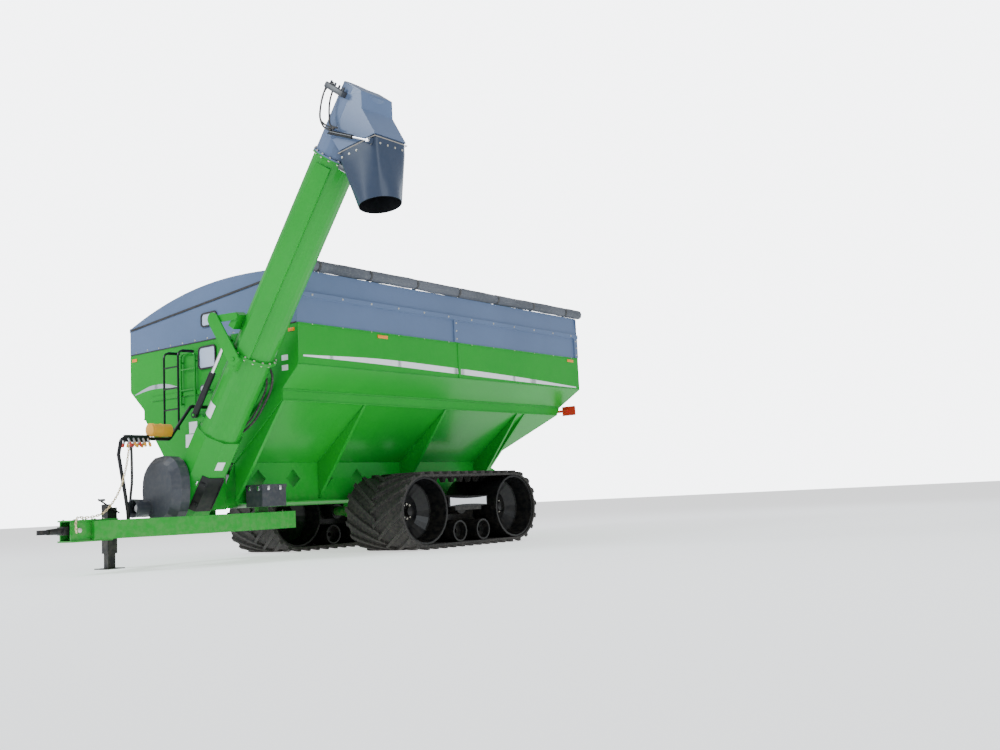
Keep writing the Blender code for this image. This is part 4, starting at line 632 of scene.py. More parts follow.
class OBJECT_OT_cart_finishes(Operator):
    """Paint the frame's own nodes"""

    bl_idname = "object.cart_finishes"
    bl_label = "Finishes"

    def execute(self, context):
        make_finishes(sizes_of(context))
        by_slot = {
            "green_paint": "green",
            "grey_paint": "grey",
            "black_paint": "black",
            "rubber": "rubber",
            "steel": "steel",
            "plastic": "plastic",
            "yellow_plastic": "yellow",
            "zinc": "chain",
            "pane": "pane",
            "lamp_red": "red",
            "tarp": "tarp",
        }
        special = {
            "tool_box": "toolbox",
            "fold_cylinder_rod": "chrome",
            "spout_cylinder_rod": "chrome",
            # The beams under the tank take the darker copy of the green, which is painted shade.
            "axle_beam": "green_dark",
            "tongue_cross_beam": "green_dark",
            "discharge_spout": "slate",
        }
        slots = {row["node"]: row["material_slot"] for row in frame["record"]["subparts"]}
        for name, node in frame["nodes"].items():
            finish = special.get(name) or by_slot[slots[name]]
            if name.startswith(("wheel_", "roller_")):
                finish = "rim"
            node.data.materials.clear()
            node.data.materials.append(FINISH[finish])
        return {"FINISHED"}


class OBJECT_OT_cart_chain(Operator):
    """Make the safety chain's links"""

    bl_idname = "object.cart_chain"
    bl_label = "Safety chain"

    def execute(self, context):
        route = (
            (0.055, -4.575, 1.575), (0.060, -4.590, 1.46), (0.085, -4.640, 1.28), (0.120, -4.730, 1.06),
            (0.155, -4.850, 0.88), (0.180, -5.000, 0.74), (0.185, -5.130, 0.694), (0.170, -5.260, 0.684),
            (0.176, -5.340, 0.690), (0.192, -5.380, 0.655), (0.196, -5.385, 0.570), (0.180, -5.370, 0.500),
        )  # fmt: skip
        path = smooth_route([cart(*p) for p in route], 0.01)
        pitch, wire = 0.034, 0.0055
        inset, whole = 0.022, route_length(path)
        bm = bmesh.new()
        walked, index = 0.0, 0
        for before, after in zip(path, path[1:]):
            step = (after - before).length
            while walked + step >= inset + index * pitch and inset + index * pitch < whole - inset:
                share = (inset + index * pitch - walked) / step
                place, way = before.lerp(after, max(0, share)), (after - before).normalized()
                side = way.cross(Vector((1, 0, 0))).normalized()
                if index % 2:
                    side = way.cross(side).normalized()
                turn = Matrix((way, side.cross(way) * -1, side)).transposed().to_4x4()
                if turn.determinant() < 0:
                    turn = Matrix((way, side.cross(way), side)).transposed().to_4x4()
                link = add_ring(bm, (0, 0, 0), (0, 0, 1), 0.0105, wire, 14, 6, 0.020)
                bmesh.ops.transform(bm, matrix=Matrix.Translation(place) @ turn, verts=link)
                index += 1
            walked += step
        chain = piece("chain_links", bm, "chain", "cart")
        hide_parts("safety_chain")
        tuple(path[0])
        route_length(path)
        [tuple(p) for p in path]  # fmt: skip
        return {"FINISHED"}


class OBJECT_OT_cart_hoses(Operator):
    """Make the hydraulic hoses, their couplers and caps, and the spout's manifold"""

    bl_idname = "object.cart_hoses"
    bl_label = "Hoses"

    def execute(self, context):
        main = hose(
            "hose_to_tongue",
            (
                (-0.060, -4.470, 1.570), (-0.075, -4.455, 1.440), (-0.110, -4.430, 1.280), (-0.150, -4.405, 1.100),
                (-0.190, -4.400, 0.920), (-0.230, -4.380, 0.760), (-0.300, -4.300, 0.680), (-0.380, -4.150, 0.672),
                (-0.440, -3.950, 0.672), (-0.460, -3.700, 0.690),
            ),
            0.018, "hose", "cart",
        )  # fmt: skip
        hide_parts("hydraulic_hose")
        hose(
            "hose_wall_long",
            (
                (0.786, -3.478, 1.657), (0.88, -3.43, 1.70), (1.05, -3.39, 1.82), (1.24, -3.385, 2.01),
                (1.41, -3.40, 2.21), (1.48, -3.44, 2.38), (1.430, -3.478, 2.524),
            ),
            0.016, "hose", "cart",
        )  # fmt: skip
        hose(
            "hose_wall_short",
            (
                (0.846, -3.478, 1.737), (0.93, -3.44, 1.77), (1.08, -3.41, 1.90), (1.24, -3.41, 2.09),
                (1.36, -3.43, 2.26), (1.382, -3.474, 2.460),
            ),
            0.014, "hose", "cart",
        )  # fmt: skip
        for index, (shift, bow) in enumerate(((0.0, 0.0), (0.05, 0.05), (0.10, -0.05))):
            hose(
                f"hose_spout_{index}",
                (
                    (3.29 + shift, -4.050, 5.535), (3.25 + shift - bow, -4.065, 5.45), (3.20 + shift - bow, -4.075, 5.30),
                    (3.19 + shift - bow, -4.08, 5.14), (3.26 + shift, -4.085, 5.02), (3.36 + shift, -4.075, 4.965),
                ),
                0.011, "hose", "upper_auger",
            )  # fmt: skip
        bm = bmesh.new()
        turn = Matrix.Translation(cart(3.42, -4.045, 5.435)) @ Matrix.Rotation(LEAN, 4, "Y")
        add_block(bm, (-0.17, -0.04, -0.03), (0.17, 0.04, 0.035), 0.006, turn)
        for x in (-0.12, -0.04, 0.04, 0.12):
            top = add_bar(bm, (x, 0, 0.02), (x, 0, 0.075), 0.016, 12, 0.013)
            bmesh.ops.transform(bm, matrix=turn, verts=top)
        add_bar(bm, cart(3.30, -4.03, 5.545), cart(3.31, -4.075, 5.545), 0.020, 12, bevel=0.003)
        piece("spout_manifold", bm, "plastic", "upper_auger")
        bm = bmesh.new()
        for y in (-4.57, -4.50, -4.43, -4.36, -4.29):
            for x in (-0.050, 0.050):
                add_bar(bm, cart(x * 0.6, y, RACK_Z), cart(x * 1.5, y, RACK_Z - 0.065), 0.015, 12, bevel=0.003)
        piece("coupler_bodies", bm, "steel", "cart")
        for name, finish, ys in (("caps_red", "cap_red", (-4.57, -4.43)), ("caps_yellow", "cap_yellow", (-4.50, -4.36, -4.29))):
            bm = bmesh.new()
            for y in ys:
                for x in (-0.050, 0.050):
                    start, end = cart(x * 1.45, y, RACK_Z - 0.058), cart(x * 1.9, y, RACK_Z - 0.105)
                    add_bar(bm, start, end, 0.019, 14, 0.017, 0.003)
            piece(name, bm, finish, "cart")
        return {"FINISHED"}


class OBJECT_OT_cart_tarp(Operator):
    """Roll the tarp: a slack, creased roll held by straps"""

    bl_idname = "object.cart_tarp"
    bl_label = "Tarp roll"

    def execute(self, context):
        sizes = sizes_of(context)
        low, high = -3.38, 3.25
        steps, around = 160, 40
        straps = [low + (high - low) * (i + 0.5) / sizes.strap_count for i in range(sizes.strap_count)]
        bm = bmesh.new()
        circle = bmesh.ops.create_circle(bm, segments=around, radius=1.0, cap_ends=True)["verts"]
        face = circle[0].link_faces[0]
        bmesh.ops.rotate(bm, cent=(0, 0, 0), matrix=Matrix.Rotation(math.pi / 2, 3, "X"), verts=circle)
        for step in range(steps):
            grown = bmesh.ops.extrude_face_region(bm, geom=[face])["geom"]
            if step:
                bmesh.ops.delete(bm, geom=[face], context="FACES_ONLY")
            verts = [v for v in grown if isinstance(v, bmesh.types.BMVert)]
            face = next(f for f in grown if isinstance(f, bmesh.types.BMFace))
            bmesh.ops.translate(bm, vec=(0, (high - low) / steps, 0), verts=verts)
        for vert in bm.verts:
            along = low + vert.co.y
            angle = math.atan2(vert.co.z, vert.co.x)
            pinch = sum(math.exp(-(((along - s) / 0.05) ** 2)) for s in straps)
            swell = (
                0.93
                + 0.035 * math.sin(3 * angle + 1.7 * along)
                + 0.022 * math.sin(7 * angle - 4.1 * along + 1.0)
                + 0.020 * math.sin(11 * along + 2 * angle)
                - 0.085 * min(1, pinch)
            )
            edge = 0.05 * math.exp(-((((angle - 0.9 - 0.05 * math.sin(3 * along)) % math.tau) / 0.22) ** 2))
            radius = TARP_RADIUS * (swell + edge)
            end = min(along - low, high - along)
            radius *= 1 - 0.10 * math.exp(-end / 0.02)
            place = ORIGIN + TARP_CENTRE + Vector((radius * math.cos(angle), along, radius * math.sin(angle)))
            vert.co = place
        roll = piece("tarp_cloth_roll", bm, "tarp", "cart")
        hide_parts("tarp_roll")
        bm = bmesh.new()
        add_bar(bm, cart(1.795, low - 0.05, 3.8103), cart(1.795, high + 0.05, 3.8103), 0.024, 20, bevel=0.003)
        for end in (low - 0.012, high + 0.004):
            add_ring(bm, cart(1.795, end, 3.8103), (0, 1, 0), 0.034, 0.008)
        piece("tarp_tube", bm, "steel", "cart")
        bm = bmesh.new()
        for y in straps:
            for shift in (-0.016, -0.008, 0.0, 0.008, 0.016):
                add_ring(bm, cart(1.795, y + shift, 3.8103), (0, 1, 0), TARP_RADIUS * 0.90, 0.0045, 32, 6)
            add_block(bm, cart(1.868, y - 0.016, 3.795), cart(1.876, y + 0.016, 3.835), 0.002)
        piece("tarp_straps", bm, "strap", "cart")
        return {"FINISHED"}


class OBJECT_OT_cart_boards(Operator):
    """Fit the boards' bolts and seals, a dark strip painted as the shade in the gap under the front's arched cap, the
    window gaskets and the seams
    """

    bl_idname = "object.cart_boards"
    bl_label = "Boards and windows"

    def execute(self, context):
        size = sizes_of(context).bolt
        bm = bmesh.new()
        for side in (1, -1):
            for i in range(12):
                y = TANK_FRONT + 0.25 + i * 0.54
                add_bolt(bm, cart(side * (STRIP_OUT - 0.001), y, STRIP_Z + 0.04), (side, 0, 0), size * 0.8)
                add_bolt(bm, cart(side * (TANK_HALF + 0.012), y, BOARD_FOOT_Z - 0.0075), (side, 0, 0), size * 0.45)
            for y in (-0.185, TANK_REAR - 0.06):
                for z in (3.08, 3.20, 3.32):
                    add_bolt(bm, cart(side * (TANK_HALF + 0.022), y, z), (side, 0, 0), size * 0.8)
        for y, way in ((TANK_FRONT, -1), (TANK_REAR + 0.010, 1)):
            for i in range(13):
                add_bolt(bm, cart(-1.68 + i * 0.28, y, 3.055), (0, way, 0), size * 0.7)
        piece("board_bolts", bm, "bolt", "cart")

        bm = bmesh.new()
        # The sloped dark strip across the front is painted shade in the gap under the arched cap; the thin block at
        # the boards' foot is their seal.
        start, end = Vector((-1.80, 3.395)), Vector((1.79, 3.708))
        for i in range(24):
            a, b = start.lerp(end, i / 24), start.lerp(end, (i + 1) / 24)
            add_sheet(
                bm,
                [cart(a.x, TANK_FRONT, a.y - 0.014), cart(b.x, TANK_FRONT, b.y - 0.014), cart(b.x, TANK_FRONT, b.y + 0.014), cart(a.x, TANK_FRONT, a.y + 0.014)],
                (0, -0.012, 0),
            )
        add_block(bm, cart(-1.82, TANK_FRONT - 0.006, 3.018), cart(1.82, TANK_FRONT + 0.004, 3.034), 0.002)
        piece("board_seals_and_painted_shadow_gap", bm, "gasket", "cart")

        bm = bmesh.new()
        for (width, height), (x, z), y in (((0.36, 0.30), (0.0, 2.79), -3.3186), ((0.33, 0.18), (0.055, 3.31), -3.3206)):
            corner = 0.05
            points = []
            for quarter, (sx, sz) in enumerate(((1, 1), (-1, 1), (-1, -1), (1, -1))):
                for step in range(5):
                    angle = math.radians(90 * quarter + 22.5 * step)
                    points.append(
                        cart(
                            x + sx * (width / 2 - corner) + corner * math.cos(angle),
                            y - 0.004,
                            z + sz * (height / 2 - corner) + corner * math.sin(angle),
                        )
                    )
            for a, b in zip(points, [*points[1:], points[0]]):
                add_bar(bm, a, b, 0.013, 10)
            for joint in points:
                bmesh.ops.create_uvsphere(bm, u_segments=10, v_segments=6, radius=0.013, matrix=Matrix.Translation(joint))
        piece("window_gaskets", bm, "gasket", "cart")

        bm = bmesh.new()
        for side in (1, -1):
            for z, x in ((2.486, 1.834), (2.178, 1.508)):
                path = [cart(side * x, -3.28 + i * 0.05, z) for i in range(124)]
                for a, b in zip(path, path[1:]):
                    add_bar(bm, a, b + Vector((0, 0.006, 0)), 0.007, 6, 0.0055)
            for z0, z1 in ((2.50, 3.0),):
                add_bar(bm, cart(side * 1.832, -3.300, z0), cart(side * 1.832, -3.300, z1), 0.008, 8)
        piece("weld_beads", bm, "green", "cart")
        return {"FINISHED"}


class OBJECT_OT_cart_decals(Operator):
    """Lay the plain stripes, labels and reflectors on the tank"""

    bl_idname = "object.cart_decals"
    bl_label = "Decals"

    def execute(self, context):
        def sweep(bm, place, lift, points):
            """A stripe through (along, height, width) points."""
            fine = smooth_route([Vector(p) for p in points], 0.08)
            for a, b in zip(fine, fine[1:]):
                outline = [place(a.x, a.y - a.z / 2), place(b.x, b.y - b.z / 2), place(b.x, b.y + b.z / 2), place(a.x, a.y + a.z / 2)]
                add_sheet(bm, outline, lift)

        for side, name in ((1, "left"), (-1, "right")):
            bm = bmesh.new()
            out = side * (TANK_HALF + 0.0005)
            sweep(
                bm,
                lambda y, z, out=out: cart(out, y, z),
                (side * 0.001, 0, 0),
                [(-3.22, 2.600, 0.020), (-1.83, 2.618, 0.075), (-0.36, 2.596, 0.085), (1.38, 2.560, 0.070), (2.99, 2.515, 0.020)],
            )
            piece(f"side_stripe_{name}", bm, "white", "cart")
        bm = bmesh.new()
        sweep(
            bm,
            lambda x, z: cart(x, TANK_FRONT + 0.0015, z),
            (0, -0.001, 0),
            [(-1.72, 2.430, 0.012), (-1.35, 2.497, 0.055), (-0.98, 2.492, 0.060), (-0.66, 2.440, 0.012)],
        )
        piece("front_sweep", bm, "silver", "cart")

        bm = bmesh.new()
        for left, right, low, high in (
            (-0.52, -0.16, 1.58, 1.76), (-0.44, -0.26, 1.77, 1.93), (-0.40, -0.22, 1.44, 1.57), (1.52, 1.64, 2.43, 2.50), (1.52, 1.64, 2.56, 2.63),
        ):  # fmt: skip
            y = TANK_FRONT + 0.0015
            add_sheet(bm, [cart(left, y, low), cart(right, y, low), cart(right, y, high), cart(left, y, high)], (0, -0.001, 0))
        for start, end, low, high, radius in ((-0.95, -0.76, -24, 8, 0.2665),):
            for i in range(8):
                first, last = (math.radians(low + (high - low) * (i + k) / 8 - 90) for k in (0, 1))
                outline = [auger(radius * math.cos(t), v, radius * math.sin(t)) for t, v in ((first, start), (last, start), (last, end), (first, end))]
                add_sheet(bm, outline, ACROSS * math.cos(first) * 0.001 + Vector((0, math.sin(first) * 0.001, 0)))
        add_sheet(bm, [auger(0.2855, v, d) for v, d in ((-1.56, -0.09), (-1.56, 0.03), (-1.44, 0.03), (-1.44, -0.09))], ACROSS * 0.001)
        piece("blank_labels", bm, "white", "cart")

        bm = bmesh.new()
        for y0, y1 in ((-1.86, -1.66), (2.76, 2.94)):
            for side in (1, -1):
                ends = sorted((side * (TANK_HALF + 0.0005), side * (TANK_HALF + 0.009)))
                add_block(bm, cart(ends[0], y0, 2.945), cart(ends[1], y1, 2.99), 0.003)
        for x in (-1.72, 1.72):
            add_block(bm, cart(x - 0.06, TANK_FRONT - 0.007, 2.92), cart(x + 0.06, TANK_FRONT + 0.0015, 2.965), 0.003)
        piece("reflectors", bm, "amber", "cart")
        return {"FINISHED"}


class OBJECT_OT_cart_lamps(Operator):
    """Fit the work lamps and the rear lamps' lenses"""

    bl_idname = "object.cart_lamps"
    bl_label = "Lamps"

    def execute(self, context):
        bodies, glass = bmesh.new(), bmesh.new()
        centre, way = cart(0.085, -3.45, 2.33), Vector((0.10, -1, -0.25)).normalized()
        add_bar(bodies, centre + way * 0.0, centre - way * 0.06, 0.060, 28, 0.038, 0.004)
        add_ring(bodies, centre, way, 0.058, 0.007)
        add_bar(bodies, centre - way * 0.05, cart(0.085, TANK_FRONT + 0.003, 2.32), 0.012, 10)
        add_bar(glass, centre - way * 0.01, centre + way * 0.004, 0.054, 28, 0.050, 0.002)
        piece("front_lamp", bodies, "plastic", "cart")
        piece("front_lamp_glass", glass, "silver", "cart")

        bodies, glass = bmesh.new(), bmesh.new()
        turn = Matrix.Translation(cart(3.365, -3.82, 4.545)) @ Matrix.Rotation(math.radians(35), 4, "Y")
        add_block(bodies, (-0.075, -0.11, -0.028), (0.075, 0.11, 0.032), 0.010, turn)
        add_block(bodies, (-0.05, -0.02, 0.03), (-0.02, 0.02, 0.16), 0.003, turn)
        add_block(glass, (-0.062, -0.095, -0.034), (0.062, 0.095, -0.027), 0.003, turn)
        piece("spout_lamp", bodies, "plastic", "upper_auger")
        piece("spout_lamp_glass", glass, "clear", "upper_auger")

        bm = bmesh.new()
        for side in (1, -1):
            x = side * 1.66
            for shift, wide in ((0.055, 0.045),):
                ends = sorted((x + side * (shift - wide), x + side * (shift + wide)))
                add_block(bm, cart(ends[0], 3.023, 2.07), cart(ends[1], 3.032, 2.17), 0.003)
        piece("amber_lenses", bm, "amber", "cart")
        return {"FINISHED"}


class OBJECT_OT_cart_fasteners(Operator):
    """Bolt the flanges, the spout's band and the tongue"""

    bl_idname = "object.cart_fasteners"
    bl_label = "Fasteners"

    def execute(self, context):
        sizes = sizes_of(context)
        count, size = sizes.flange_bolts, sizes.bolt

        def circle(bm, along, way, radius, keep=lambda turn: True):
            for i in range(count):
                turn = math.tau * (i + 0.5) / count
                if keep(turn):
                    add_bolt(bm, auger(radius * math.cos(turn), along, radius * math.sin(turn)), ALONG * way, size)

        lower, upper = bmesh.new(), bmesh.new()
        circle(lower, -0.0185, -1, 0.288, lambda t: not 2.6 < t < 3.9)
        circle(upper, 0.0188, 1, 0.288, lambda t: not 2.6 < t < 3.9)
        circle(upper, UPPER_LENGTH - 0.0185, -1, 0.276)
        circle(upper, UPPER_LENGTH + 0.0188, 1, 0.276)
        piece("lower_flange_bolts", lower, "bolt", "cart")
        piece("upper_flange_bolts", upper, "bolt", "upper_auger")

        band, seal = bmesh.new(), bmesh.new()
        slope = math.tan(math.radians(6.5))
        for i in range(5):
            x = RIM_X[0] + 0.06 + i * 0.115
            z = RIM_TOP_Z - 0.100 - (RIM_X[1] - x) * slope
            for y, way in ((RIM_Y[0], -1), (RIM_Y[1], 1)):
                if way > 0 or i not in (3,):
                    add_bolt(band, cart(x, y, z), (0, way, 0), size * 0.75)
        for i in range(4):
            y = -3.93 + i * 0.12
            add_bolt(band, cart(RIM_X[1] + 0.0035, y, RIM_TOP_Z - 0.100), (1, 0, 0), size * 0.75)
        piece("spout_band_bolts", band, "bolt", "spout")
        for z, lift in ((RIM_TOP_Z - 0.030, 0.010),):
            left, right = RIM_X[0] - 0.004, RIM_X[1] + 0.004
            drop = (right - left) * slope
            corners = [cart(left, RIM_Y[0], z - drop), cart(right, RIM_Y[0], z), cart(right, RIM_Y[1], z), cart(left, RIM_Y[1], z - drop)]
            for a, b in zip(corners, [*corners[1:], corners[0]]):
                add_bar(seal, a, b, lift * 0.6, 8)
            for corner in corners:
                bmesh.ops.create_uvsphere(seal, u_segments=8, v_segments=6, radius=lift * 0.6, matrix=Matrix.Translation(corner))
        piece("spout_seal", seal, "seal", "spout")

        bm = bmesh.new()
        for side in (1, -1):
            for y in (-5.36, -5.22, -5.10, -4.98):
                add_bolt(bm, cart(side * 0.128, y, 0.6603), (0, 0, 1), size)
            add_bar(bm, cart(side * 0.127, -5.30, 0.535), cart(side * 0.140, -5.30, 0.535), 0.030, 20, bevel=0.003)
        piece("tongue_bolts", bm, "bolt", "cart")

        bm = bmesh.new()
        for along in (-2.085, -1.785):
            way = (ACROSS + Vector((0, -1, 0))).normalized()
            base = auger(0.205, along, -0.205) + way * 0.030
            add_bar(bm, base - ALONG * 0.03, base + ALONG * 0.03, 0.010, 12, bevel=0.002)
            add_bar(bm, base + ALONG * 0.0 - way * 0.01, base + ALONG * 0.0 + way * 0.018, 0.007, 10)
        piece("door_latches", bm, "chrome", "door")
        return {"FINISHED"}


class OBJECT_OT_cart_spout(Operator):
    """Form the spout: a square band that narrows to a round mouth, with a near-black lining inside that is painted
    shade
    """

    bl_idname = "object.cart_spout"
    bl_label = "Spout"

    def execute(self, context):
        steps, slope = 96, math.tan(math.radians(6.5))
        x_low, x_high, half_y = RIM_X[0] - 0.004, RIM_X[1] + 0.004, 0.264
        middle, top = (x_low + x_high) / 2, RIM_TOP_Z - 0.0123
        mouth = Vector((3.784, -3.75, 4.053))

        def on_square(turn, drop):
            c, s = math.cos(turn), math.sin(turn)
            corner = (abs(c) ** 9 + abs(s) ** 9) ** (-1 / 9)
            x = middle + (x_high - x_low) / 2 * c * corner
            return Vector((x, -3.75 + half_y * s * corner, top - drop - (x_high - x) * slope))

        def on_mouth(turn):
            x = 0.235 * math.cos(turn)
            return mouth + Vector((x, 0.262 * math.sin(turn), x * 0.18))

        def form(bm, shrink):
            verts = bmesh.ops.create_circle(bm, segments=steps, radius=1)["verts"]
            turns = [math.atan2(v.co.y, v.co.x) for v in verts]
            edges = list({e for v in verts for e in v.link_edges})
            rings = [verts]
            for _ in range(8):
                grown = bmesh.ops.extrude_edge_only(bm, edges=edges)["geom"]
                edges = [e for e in grown if isinstance(e, bmesh.types.BMEdge) and not any(v in rings[-1] for v in e.verts)]
                fresh = {v for v in grown if isinstance(v, bmesh.types.BMVert)}
                rings.append([next(e.other_vert(v) for e in v.link_edges if e.other_vert(v) in fresh) for v in rings[-1]])
            for index, ring in enumerate(rings):
                for vert, turn in zip(ring, turns):
                    if index < 2:
                        place = on_square(turn, 0.125 * index)
                    else:
                        place = on_square(turn, 0.125).lerp(on_mouth(turn), (index - 1) / 7)
                    inward = Vector((middle, -3.75, place.z)) - place
                    vert.co = ORIGIN + place + inward.normalized() * shrink

        bm = bmesh.new()
        form(bm, 0.0)
        bmesh.ops.recalc_face_normals(bm, faces=bm.faces)
        bmesh.ops.solidify(bm, geom=bm.faces[:], thickness=0.005)
        shell = piece("spout_shell", bm, "slate", "spout")
        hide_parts("discharge_spout")
        # A near-black lining just inside the shell, which is painted shade for the spout's inside.
        bm = bmesh.new()
        form(bm, 0.0075)
        bmesh.ops.recalc_face_normals(bm, faces=bm.faces)
        bmesh.ops.solidify(bm, geom=bm.faces[:], thickness=0.001)
        piece("spout_painted_shade_lining", bm, "void", "spout")
        bm = bmesh.new()
        add_block(bm, cart(3.90, -4.056, 4.673), cart(3.96, -4.012, 4.733), 0.004)
        piece("spout_lug", bm, "slate", "spout")
        return {"FINISHED"}


class OBJECT_OT_cart_wheels(Operator):
    """Fit the wheels' hubs and bolts, and the belts' guide lugs and chevrons"""

    bl_idname = "object.cart_wheels"
    bl_label = "Wheels and belts"

    def execute(self, context):
        sizes = sizes_of(context)
        for side, name in ((1, "left"), (-1, "right")):
            middle = side * TRACK_MIDDLE
            for y, place in ((-WHEEL_Y, "front"), (WHEEL_Y, "rear")):
                bm = bmesh.new()
                for way in (1, -1):
                    face = middle + way * 0.128
                    add_bar(bm, cart(face - way * 0.004, y, WHEEL_Z), cart(face + way * 0.030, y, WHEEL_Z), 0.135, 36, 0.125, 0.006)
                    add_bar(bm, cart(face + way * 0.028, y, WHEEL_Z), cart(face + way * 0.105, y, WHEEL_Z), 0.078, 32, 0.068, 0.008)
                    add_ring(bm, cart(middle + way * 0.505, y, WHEEL_Z), (1, 0, 0), 0.455, 0.011, 64, 8)
                    add_ring(bm, cart(middle + way * 0.236, y, WHEEL_Z), (1, 0, 0), 0.400, 0.008, 56, 8)
                piece(f"hub_{name}_{place}", bm, "rim", f"wheel_{name}_{place}")
                bm = bmesh.new()
                for way in (1, -1):
                    for i in range(sizes.wheel_bolts):
                        turn = math.tau * (i + 0.5) / sizes.wheel_bolts
                        at = cart(middle + way * 0.156, y + 0.103 * math.cos(turn), WHEEL_Z + 0.103 * math.sin(turn))
                        add_bolt(bm, at, (way, 0, 0), sizes.bolt * 0.95)
                piece(f"hub_bolts_{name}_{place}", bm, "bolt", f"wheel_{name}_{place}")

            bm = bmesh.new()
            radius, straight = 0.479, 2 * WHEEL_Y
            loop = 2 * straight + math.tau * radius
            for i in range(sizes.guide_lugs):
                at = (i + 0.5) / sizes.guide_lugs * loop
                if at < straight:
                    y, z, turn = -WHEEL_Y + at, WHEEL_Z - radius, 0.0
                elif at < straight + math.pi * radius:
                    turn = (at - straight) / radius
                    y, z = WHEEL_Y + radius * math.sin(turn), WHEEL_Z - radius * math.cos(turn)
                elif at < 2 * straight + math.pi * radius:
                    turn = math.pi
                    y, z = WHEEL_Y - (at - straight - math.pi * radius), WHEEL_Z + radius
                else:
                    turn = math.pi + (at - 2 * straight - math.pi * radius) / radius
                    y, z = -WHEEL_Y + radius * math.sin(turn), WHEEL_Z - radius * math.cos(turn)
                turned = Matrix.Translation(cart(middle, y, z)) @ Matrix.Rotation(turn, 4, "X")
                lug = add_block(bm, (-0.045, -0.042, -0.004), (0.045, 0.042, 0.075), 0.0)
                for vert in lug:
                    if vert.co.z > 0.05:
                        vert.co.x *= 0.55
                        vert.co.y *= 0.62
                bmesh.ops.transform(bm, matrix=turned, verts=lug)
            piece(f"guide_lugs_{name}", bm, "rubber", f"track_{name}", smooth=False)

            belt = bmesh.new()
            half = 0.5375
            base = [(-half, 0.4802), (half, 0.4802), (half, 0.510), (-half, 0.510)]
            verts = bmesh.ops.create_grid(belt, x_segments=1, y_segments=1, size=1)["verts"]
            face = verts[0].link_faces[0]
            order = list(face.verts)
            arcs = 144

            def place(ring, at, profile):
                for vert, (x, r) in zip(ring, profile):
                    vert.co = on_loop(middle + x, at, r)

            place(order, 0.0, base)
            for i in range(1, arcs + 1):
                grown = bmesh.ops.extrude_face_region(belt, geom=[face])["geom"]
                bmesh.ops.delete(belt, geom=[face], context="FACES_ONLY")
                face = next(f for f in grown if isinstance(f, bmesh.types.BMFace))
                order = [next(e.other_vert(v) for e in v.link_edges if e.other_vert(v) in face.verts) for v in order]
                place(order, i / arcs, base)
            bmesh.ops.delete(belt, geom=[f for f in belt.faces if f == face], context="FACES_ONLY")
            loop = 4 * WHEEL_Y + math.tau * 0.51
            for i in range(sizes.tread_lugs):
                for way in (1, -1):
                    made = bmesh.ops.create_grid(belt, x_segments=1, y_segments=1, size=1)["verts"]
                    face = made[0].link_faces[0]
                    order = list(face.verts)
                    shift = 0.0 if way > 0 else 0.5

                    def rung(ring, x, first=False):
                        wide = 0.030 + 0.012 * x / half
                        lead = (i + shift) / sizes.tread_lugs + (half - x) * 0.62 / loop
                        for vert, (along, r) in zip(ring, ((-wide, 0.508), (wide, 0.508), (wide * 0.7, 0.5515), (-wide * 0.7, 0.5515))):
                            vert.co = on_loop(middle + way * x, lead + along / loop, r)

                    rung(order, -0.03)
                    for x in (0.08, 0.19, 0.30, 0.41, half):
                        grown = bmesh.ops.extrude_face_region(belt, geom=[face])["geom"]
                        if face.is_valid and x > 0.1:
                            bmesh.ops.delete(belt, geom=[face], context="FACES_ONLY")
                        face = next(f for f in grown if isinstance(f, bmesh.types.BMFace))
                        order = [next(e.other_vert(v) for e in v.link_edges if e.other_vert(v) in face.verts) for v in order]
                        rung(order, x)
            tread = piece(f"belt_tread_{name}", belt, "rubber", f"track_{name}")
            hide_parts(f"belt_{name}")

            bm, out = bmesh.new(), side * (TRACK_MIDDLE + 0.4403)
            ends = sorted((out, out + side * 0.010))
            add_block(bm, cart(ends[0], -0.46, 0.585), cart(ends[1], 0.46, 0.735), 0.004)
            piece(f"track_cover_{name}", bm, "rim", f"track_{name}")
            bm, out = bmesh.new(), side * (TRACK_MIDDLE + 0.4505)
            for i in range(12):
                y0, y1 = (-0.42 + 0.07 * (i + k) for k in (0, 1))
                wide = [0.040 + 0.020 * (abs(y) / 0.42) ** 2 for y in (y0, y1)]
                outline = [cart(out, y0, 0.66 - wide[0]), cart(out, y1, 0.66 - wide[1]), cart(out, y1, 0.66 + wide[1]), cart(out, y0, 0.66 + wide[0])]
                add_sheet(bm, outline, (side * 0.001, 0, 0))
            piece(f"track_plate_{name}", bm, "white", f"track_{name}")
        return {"FINISHED"}


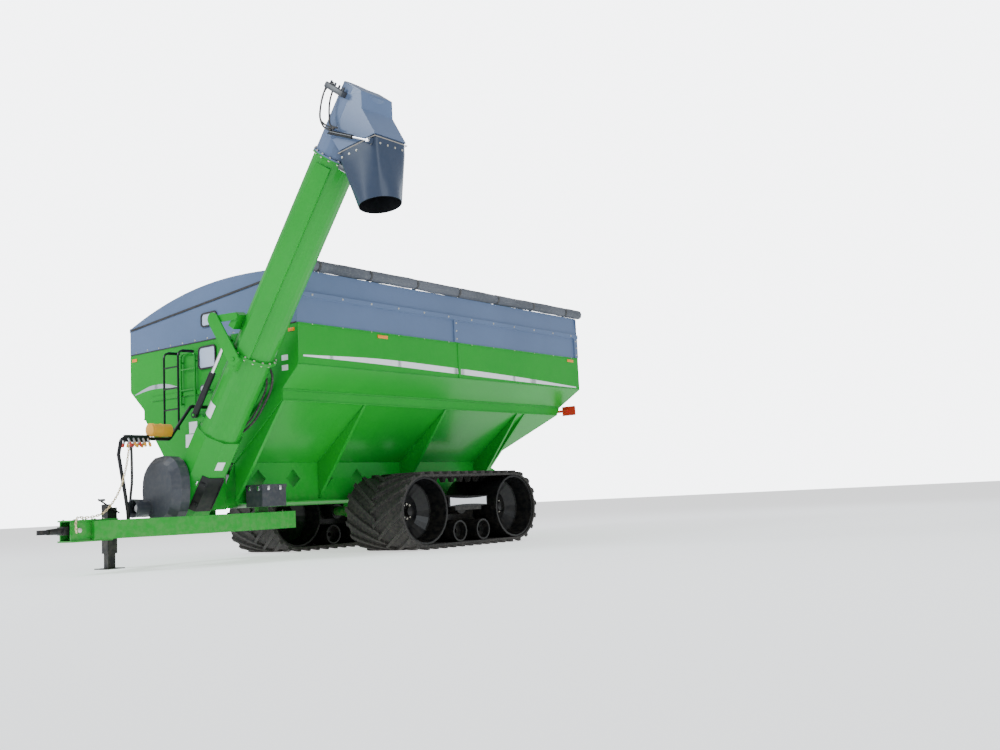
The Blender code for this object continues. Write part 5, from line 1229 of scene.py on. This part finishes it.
class OBJECT_OT_cart_front(Operator):
    """Fit the braces, the tool box's catches and the document tube's lid"""

    bl_idname = "object.cart_front"
    bl_label = "Front gear"

    def execute(self, context):
        bm = bmesh.new()
        add_bar(bm, cart(-0.05, -3.318, 2.00), cart(-0.02, -3.36, 1.72), 0.022, 16)
        add_bar(bm, cart(0.82, -3.318, 1.90), cart(1.34, -3.40, 2.34), 0.020, 16)
        piece("front_braces", bm, "green", "cart")

        bm = bmesh.new()
        low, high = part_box("tool_box")
        for y in (-3.10, -2.90):
            add_block(bm, cart(0.953, y - 0.018, 0.93), cart(0.960, y + 0.018, 0.985), 0.002)
        for x in (0.70, 0.88):
            add_block(bm, Vector((cart(x - 0.02, 0, 0).x, low.y - 0.005, 0.925)), Vector((cart(x + 0.02, 0, 0).x, low.y + 0.012, 0.985)), 0.002)
        piece("tool_box_catches", bm, "chrome", "cart")

        bm = bmesh.new()
        for y in (-4.22, -4.10):
            add_ring(bm, cart(0.03, y, 1.765), (0, 1, 0), 0.0845, 0.0045, 36, 6)
        add_bar(bm, cart(0.03, -4.262, 1.765), cart(0.03, -4.2495, 1.765), 0.088, 32, bevel=0.004)
        piece("document_lid", bm, "yellow", "cart")
        return {"FINISHED"}


OPERATORS = (
    OBJECT_OT_cart_finishes,
    OBJECT_OT_cart_stage,
    OBJECT_OT_cart_chain,
    OBJECT_OT_cart_hoses,
    OBJECT_OT_cart_tarp,
    OBJECT_OT_cart_boards,
    OBJECT_OT_cart_decals,
    OBJECT_OT_cart_lamps,
    OBJECT_OT_cart_fasteners,
    OBJECT_OT_cart_spout,
    OBJECT_OT_cart_wheels,
    OBJECT_OT_cart_front,
)


class VIEW3D_PT_grain_cart(Panel):
    """Sizes, colours and pieces of the grain cart"""

    bl_label = "Grain Cart"
    bl_space_type = "VIEW_3D"
    bl_region_type = "UI"
    bl_category = "Grain Cart"

    def draw(self, context):
        sizes = sizes_of(context)
        for name in sizes.bl_rna.properties.keys():
            if name not in ("rna_type", "name"):
                self.layout.prop(sizes, name)
        for operator in OPERATORS:
            self.layout.operator(operator.bl_idname)


CLASSES = (GrainCartSizes, *OPERATORS, VIEW3D_PT_grain_cart)


def register():
    for made in CLASSES:
        bpy.utils.register_class(made)
    bpy.types.Scene.grain_cart = PointerProperty(type=GrainCartSizes)


def unregister():
    del bpy.types.Scene.grain_cart
    for made in reversed(CLASSES):
        bpy.utils.unregister_class(made)


def main():
    register()
    for operator in OPERATORS:
        group, name = operator.bl_idname.split(".")
        getattr(getattr(bpy.ops, group), name)()
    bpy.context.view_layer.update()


if __name__ == "__main__":
    main()
